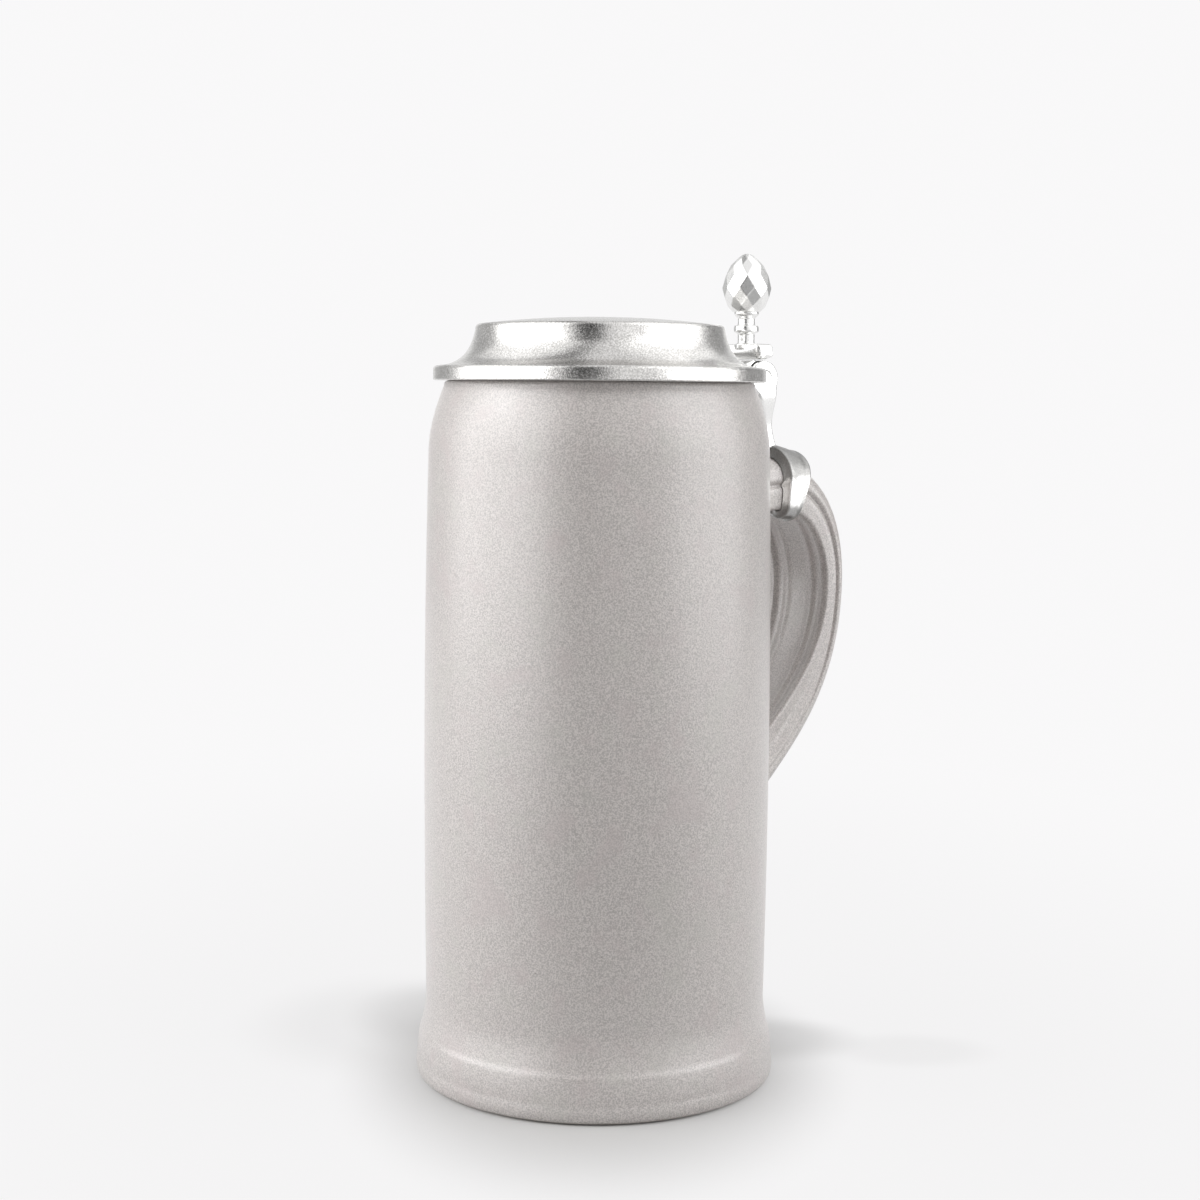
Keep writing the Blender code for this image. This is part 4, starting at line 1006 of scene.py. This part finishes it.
class Value:
    """A shader socket. Sums, products and comparisons with it add Math nodes."""

    def __init__(self, finish, socket):
        self.finish = finish
        self.socket = socket

    def __add__(self, other):
        return self.finish.math("ADD", self, other)

    __radd__ = __add__

    def __sub__(self, other):
        return self.finish.math("SUBTRACT", self, other)

    def __rsub__(self, other):
        return self.finish.math("SUBTRACT", other, self)

    def __mul__(self, other):
        return self.finish.math("MULTIPLY", self, other)

    __rmul__ = __mul__

    def __abs__(self):
        return self.finish.math("ABSOLUTE", self, 0.0)

    def __gt__(self, other):
        return self.finish.math("GREATER_THAN", self, other)

    def other(self, output):
        """Another output of the same node."""
        return Value(self.finish, self.socket.node.outputs[output])


class Finish:
    """The nodes of a material or a world, with one method that adds any node."""

    def __init__(self, name, kind="materials", shader="Principled BSDF"):
        self.owner = getattr(bpy.data, kind).new(name)
        self.owner.use_nodes = True
        self.tree = self.owner.node_tree
        self.shader = self.tree.nodes[shader]

    @functools.cached_property
    def place(self):
        return self.add("TexCoord", output="Object")

    def add(self, kind, sockets=None, output=0, **settings):
        """A node of a kind. Its settings are set first, then its sockets get their values or links."""
        node = self.tree.nodes.new("ShaderNode" + kind)
        for key, value in settings.items():
            setattr(node, key, value)
        for key, value in (sockets or {}).items():
            self.feed(node.inputs[key], value)
        return Value(self, node.outputs[output])

    def feed(self, socket, value):
        if isinstance(value, Value):
            self.tree.links.new(value.socket, socket)
        else:
            socket.default_value = value

    def math(self, operation, first, second):
        return self.add("Math", {0: first, 1: second}, operation=operation)

    def ramp(self, value, low, high):
        """0 to 1 as a value goes from low to high, eased."""
        sockets = {"Value": value, "From Min": low, "From Max": high}
        return self.add("MapRange", sockets, interpolation_type="SMOOTHSTEP")

    def noise(self, size, detail=NOISE_DETAIL, place=None):
        """Cloudy noise, near 0.5, with features of a size in metres."""
        sockets = {"Vector": place or self.place, "Scale": 1 / size, "Detail": detail}
        return self.add("TexNoise", sockets, "Fac")

    def weighed(self, shares, *values):
        """The sum of values, each times its share."""
        first, *others = (share * value for share, value in zip(shares, values))
        return sum(others, first)

    def mix(self, share, first, second):
        """A colour between two colours."""
        return self.add("Mix", {0: share, 6: first, 7: second}, 2, data_type="RGBA")

    def oval_distance(self, place, middle=(0.0, 0.0), half=(1.0, 1.0)):
        """How far a place lies from an upright axis, as a share of the half sizes of an oval round it."""
        stretch = (1 / half[0], 1 / half[1], 0.0)
        shift = (-middle[0] / half[0], -middle[1] / half[1], 0.0)
        moved = self.add("VectorMath", {0: place, 1: stretch, 2: shift}, operation="MULTIPLY_ADD")
        return self.add("VectorMath", {0: moved}, "Value", operation="LENGTH")

    def along(self, axis):
        """Distance along one of the frame's axes."""
        return self.add("SeparateXYZ", {0: self.place}, axis)

    def set(self, **sockets):
        """Values and links for the main shader, named with _ for a space."""
        for name, value in sockets.items():
            self.feed(self.shader.inputs[name.replace("_", " ")], value)

    def metal(self, colour, roughness):
        """The material, as bare metal."""
        self.set(Base_Color=colour, Metallic=1.0, Roughness=roughness)
        return self.owner

    def bump(self, height, depth):
        """Relief whose height of 0 to 1 stands for a depth in metres."""
        normal = self.add("Bump", {"Strength": 1.0, "Distance": depth, "Height": height})
        self.set(Normal=normal)

    def blend(self, share, shader):
        """Shows another shader in place of a share of the main one."""
        main_shader = Value(self, self.shader.outputs[0])
        mixed = self.add("MixShader", {0: share, 1: main_shader, 2: shader})
        output = next(node for node in self.tree.nodes if node.type.startswith("OUTPUT"))
        self.feed(output.inputs["Surface"], mixed)


# Finishes

def stoneware_finish():
    """Salt glaze: a pale grey body in faint clouds and rosy patches, an orange-peel grain, rare iron specks,
    and a bare clay base."""
    glaze = Finish("salt_glaze")
    grain = glaze.noise(GLAZE_GRAIN)
    fine = glaze.noise(GLAZE_FINE_GRAIN)
    patches = glaze.noise(GLAZE_PATCHES)
    clouds = glaze.noise(GLAZE_CLOUDS, CLOUD_DETAIL)
    tone = glaze.weighed(GLAZE_TONE_SHARES, grain, fine)
    tint = glaze.weighed(GLAZE_TINT_SHARES, patches, clouds)
    colour = glaze.mix(glaze.ramp(tone, *GLAZE_RANGE), GLAZE_GREY, GLAZE_PALE)
    colour = glaze.mix(glaze.ramp(tint, *ROSE_RANGE) * ROSE_SHARE, colour, GLAZE_ROSE)
    colour = glaze.mix((1 - glaze.ramp(tint, *SAGE_RANGE)) * SAGE_SHARE, colour, GLAZE_SAGE)
    cells = glaze.add("TexVoronoi", {"Vector": glaze.place, "Scale": SPECK_SCALE})
    chosen = glaze.add("SeparateColor", {0: cells.other("Color")}) > SPECK_ABOVE
    speck = (1 - glaze.ramp(cells, *SPECK_RANGE)) * chosen
    colour = glaze.mix(speck * SPECK_SHARE, colour, IRON_BROWN)
    bare = 1 - glaze.ramp(glaze.along("Z"), *BARE_RANGE)
    colour = glaze.mix(bare * BARE_SHARE, colour, BARE_CLAY)
    roughness = glaze.weighed(GLAZE_ROUGHNESS, 1, fine, bare)
    glaze.set(Base_Color=colour, Roughness=roughness, IOR=GLAZE_INDEX)
    glaze.set(Coat_Weight=GLAZE_COAT * (1 - bare), Coat_Roughness=GLAZE_COAT_ROUGHNESS)
    glaze.bump(glaze.weighed(GLAZE_RELIEF_SHARES, grain, fine), GLAZE_RELIEF)
    return glaze.owner


def satin_pewter_finish():
    """Spun pewter with a satin grain: fine noise, faint rings from the lathe and duller patches."""
    pewter = Finish("satin_pewter")
    grain = pewter.noise(PEWTER_GRAIN)
    clouds = pewter.noise(SATIN_CLOUDS, CLOUD_DETAIL)
    radius = pewter.oval_distance(pewter.place)
    lathe = {"W": radius, "Scale": 1 / LATHE_LINES, "Detail": NOISE_DETAIL}
    rings = pewter.add("TexNoise", lathe, "Fac", noise_dimensions="1D")
    tone = pewter.weighed(SATIN_TONE_SHARES, grain, clouds)
    colour = pewter.mix(pewter.ramp(tone, *SATIN_RANGE), PEWTER_DULL, PEWTER_GREY)
    pewter.bump(pewter.weighed(SATIN_RELIEF_SHARES, grain, rings), SATIN_RELIEF)
    return pewter.metal(colour, pewter.weighed(SATIN_ROUGHNESS, 1, grain, clouds))


def bright_pewter_finish(name, hollow=False):
    """Cast pewter, polished: slow waves left by the mould, fine buffing grain and a little tarnish. If asked,
    painted shade darkens the hollow between the lid and the thumb lift."""
    pewter = Finish(name)
    waves = pewter.noise(MOULD_WAVES)
    grain = pewter.noise(BUFFING_GRAIN)
    tarnish = pewter.ramp(pewter.noise(TARNISH_SPOTS, TARNISH_DETAIL), *TARNISH_RANGE)
    colour = pewter.mix(tarnish * TARNISH_SHARE, PEWTER_BRIGHT, PEWTER_TARNISH)
    # Painted shade: the hollow under the thumb lift's nose is darkened in colour
    if hollow:
        front = 1 - pewter.ramp(pewter.along("X") - (HINGE_X - PLATFORM_DEPTH / 2), *HOLLOW_DEPTHS)
        middle = 1 - pewter.ramp(abs(pewter.along("Y")), *HOLLOW_HALF_WIDTHS)
        low = 1 - pewter.ramp(pewter.along("Z") - PLATFORM_BOTTOM, *HOLLOW_RISES)
        colour = pewter.mix(front * middle * low * HOLLOW_SHADE_SHARE, colour, PEWTER_PAINTED_SHADE)
    pewter.bump(pewter.weighed(BRIGHT_RELIEF_SHARES, waves, grain), BRIGHT_RELIEF)
    return pewter.metal(colour, pewter.weighed(BRIGHT_ROUGHNESS, 1, grain, tarnish))


def cast_pewter_finish():
    """Cast pewter with a mottled relief. Painted shade darkens it above and below a band of heights, along a
    mottled edge, so its top and underside look dark and its sides bright.
    """
    pewter = Finish("cast_pewter")
    mottle = pewter.noise(MOTTLE, CLOUD_DETAIL)
    grain = pewter.noise(PEWTER_GRAIN)
    # Painted shade: darker on the band's top and underside, by height
    height = pewter.along("Z") + (mottle - 0.5) * SHADE_PAINT_WANDER
    above = pewter.ramp(height, *SHADE_PAINT_ABOVE)
    below = 1 - pewter.ramp(height, *SHADE_PAINT_BELOW)
    painted_shade = pewter.weighed(SHADE_PAINT_SHARES, above, below)
    colour = pewter.mix(painted_shade * pewter.weighed(SHADE_PAINT_DEPTH, 1, grain), PEWTER_BRIGHT, PEWTER_PAINTED_SHADE)
    pewter.bump(pewter.weighed(CAST_RELIEF_SHARES, mottle, grain), CAST_RELIEF)
    return pewter.metal(colour, pewter.weighed(CAST_ROUGHNESS, 1, grain, painted_shade))


def steel_finish():
    """Drawn steel: fine lines along the pin."""
    steel = Finish("pin_steel")
    stretch = steel.add("Mapping", {"Vector": steel.place, "Scale": DRAWN_STRETCH})
    lines = steel.noise(DRAWN_LINES, place=stretch)
    steel.bump(lines, DRAWN_RELIEF)
    return steel.metal(steel.mix(lines, STEEL_DARK, STEEL_GREY), steel.weighed(DRAWN_ROUGHNESS, 1, lines))


# Studio

def camera_axes():
    """The camera's right, up and backward axes: level and facing the stein, then tipped down, then rolled."""
    up = UPRIGHT * math.cos(CAMERA_DOWN) - FRONT * math.sin(CAMERA_DOWN)
    back = FRONT * math.cos(CAMERA_DOWN) + UPRIGHT * math.sin(CAMERA_DOWN)
    right = SIDE * math.cos(CAMERA_ROLL) + up * math.sin(CAMERA_ROLL)
    return right, up * math.cos(CAMERA_ROLL) - SIDE * math.sin(CAMERA_ROLL), back


def turned_to(axes, place):
    """A matrix with the given right, up and backward axes, at a place."""
    return Matrix.Translation(place) @ Matrix(axes).transposed().to_4x4()


def facing_stein(azimuth, height, distance):
    """An upright place round the stein that faces its axis. Azimuth 0, in degrees, is towards the camera."""
    turn = math.radians(azimuth)
    back = FRONT * math.cos(turn) + SIDE * math.sin(turn)
    return turned_to((UPRIGHT.cross(back), UPRIGHT, back), back * distance + UPRIGHT * height)


def make_camera():
    lens = bpy.data.cameras.new("camera")
    lens.lens = CAMERA_LENS
    lens.sensor_width = CAMERA_SENSOR
    lens.clip_start = CAMERA_NEAR
    camera = linked("camera", lens)
    place = FRONT * CAMERA_DISTANCE + SIDE * CAMERA_SIDE + UPRIGHT * CAMERA_HEIGHT
    camera.matrix_world = turned_to(camera_axes(), place)
    bpy.context.scene.camera = camera


def make_softbox(name, azimuth, height, distance, size, power):
    lamp = bpy.data.lights.new(name, "AREA")
    lamp.shape = "RECTANGLE"
    lamp.size, lamp.size_y = size
    lamp.energy = power
    linked(name, lamp).matrix_world = facing_stein(azimuth, height, distance)


def rectangle(width, height):
    """A flat mesh round the middle of its own frame."""
    corners = [(x * width / 2, y * height / 2, 0.0) for x, y in ((-1, -1), (1, -1), (1, 1), (-1, 1))]
    return mesh_of(corners, [(0, 1, 2, 3)])


def make_card(name, place, size, level, lights=False):
    """A glowing card that the camera doesn't see and that casts no shadow. It shows in reflections, as the
    cards that shape metal in a studio, and may also light."""
    mesh = rectangle(*size)
    mesh.transform(place)
    glow = Finish(name)
    glow.set(Base_Color=BLACK, Roughness=STUDIO_ROUGHNESS, Specular_IOR_Level=0.0)
    glow.set(Emission_Color=(level, level, level, 1.0), Emission_Strength=1.0)
    mesh.materials.append(glow.owner)
    card = linked(name, mesh)
    card.visible_camera = False
    card.visible_diffuse = lights
    card.visible_shadow = False


def make_cards():
    """The upright cards, the panels overhead, and a grey card on the table in front of the stein."""
    for name, azimuth, height, distance, size, level in CARDS:
        make_card(name, facing_stein(azimuth, height, distance), size, level)
    for name, height, sides, fronts, level, lights in LEVEL_CARDS:
        middle = SIDE * (sum(sides) / 2) + FRONT * (sum(fronts) / 2) + UPRIGHT * height
        size = (np.ptp(sides), np.ptp(fronts))
        make_card(name, turned_to((SIDE, -FRONT, UPRIGHT), middle), size, level, lights)


def shown_background(finish):
    """1 for rays that show the background: those from the camera, from gloss and through glass."""
    camera = finish.add("LightPath", output="Is Camera Ray")
    shine = finish.math("MAXIMUM", camera, camera.other("Is Glossy Ray"))
    return finish.math("MAXIMUM", shine, camera.other("Is Transmission Ray"))


def make_world():
    """A white backdrop for the rays that show it, and an even fill for the rest."""
    world = Finish("studio", "worlds", "Background")
    world.set(Color=WHITE, Strength=FILL_STRENGTH)
    world.blend(shown_background(world), world.add("Background", {"Color": BACKDROP_WHITE}))
    bpy.context.scene.world = world.owner


def make_floor():
    """A pale floor that keeps the stein's shadow and fades to the backdrop's white further out, but for soft
    shadows painted behind the stein to the left and right. The light that it gives back is weaker than it
    looks."""
    mesh = rectangle(FLOOR_SIZE, FLOOR_SIZE)
    mesh.transform(Matrix.Translation((0.0, 0.0, -FLOOR_DROP)))
    finish = Finish("studio_floor")
    shown = shown_background(finish)
    colour = finish.mix(shown, FLOOR_BOUNCE_COLOUR, FLOOR_COLOUR)
    finish.set(Base_Color=colour, Roughness=STUDIO_ROUGHNESS, Specular_IOR_Level=0.0)
    turn = {"Vector": finish.place, "Angle": CAMERA_AZIMUTH}
    place = finish.add("VectorRotate", turn, rotation_type="Z_AXIS")
    distance = finish.oval_distance(place, FLOOR_FADE_MIDDLE, FLOOR_FADE_HALF)
    near = finish.ramp(distance, *FLOOR_NEAR_FADE)
    far = finish.ramp(distance, *FLOOR_FAR_FADE)
    bright = finish.weighed(FLOOR_FADE_SHARES, near, far)
    # Painted shadows: ovals where less of the backdrop's white shows
    for middle, half, depth in FLOOR_PAINTED_SHADOWS:
        away = finish.oval_distance(place, middle, half)
        bright = bright * (1 - depth * (1 - finish.ramp(away, *FLOOR_PAINTED_SHADOW_EDGE)))
    finish.blend(shown * bright, finish.add("Emission", {"Color": BACKDROP_WHITE}))
    mesh.materials.append(finish.owner)
    linked("studio_floor", mesh)


# Putting it together

def dress(made, material, slot, body, *nodes):
    """Gives a piece its finish and its body, and hides the solids that it stands for."""
    made.data.materials.clear()
    made.data.materials.append(material)
    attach(made, body)
    if nodes:
        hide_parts(*nodes)


def main():
    stoneware = stoneware_finish()
    satin = satin_pewter_finish()
    bright = bright_pewter_finish("bright_pewter")
    lift = bright_pewter_finish("lift_pewter", hollow=True)
    dress(make_body(), stoneware, "stoneware", "mug", "stoneware_body")
    dress(make_handle(), stoneware, "stoneware", "mug", "stoneware_handle")
    dress(make_band(), cast_pewter_finish(), "bright_pewter", "mug", "handle_band")
    dress(make_shank(), bright, "bright_pewter", "mug", "hinge_shank")
    dress(make_plug("flush_plug_left", -1), bright, "bright_pewter", "mug", "pin_plug_left")
    dress(make_plug("flush_plug_right", 1), bright, "bright_pewter", "mug", "pin_plug_right")
    dress(make_lid(), satin, "satin_pewter", "lid", "lid_cover")
    dress(make_tang(), lift, "bright_pewter", "lid", "lid_tang")
    dress(make_platform(), lift, "bright_pewter", "lid", "thumb_lift")
    dress(make_knob(), bright, "bright_pewter", "lid")
    pin = frame["nodes"]["hinge_pin"]
    pin.data.materials.clear()
    pin.data.materials.append(steel_finish())

    bpy.context.scene.view_settings.view_transform = "Standard"
    make_world()
    make_floor()
    for softbox in SOFTBOXES:
        make_softbox(*softbox)
    make_cards()
    make_camera()


main()
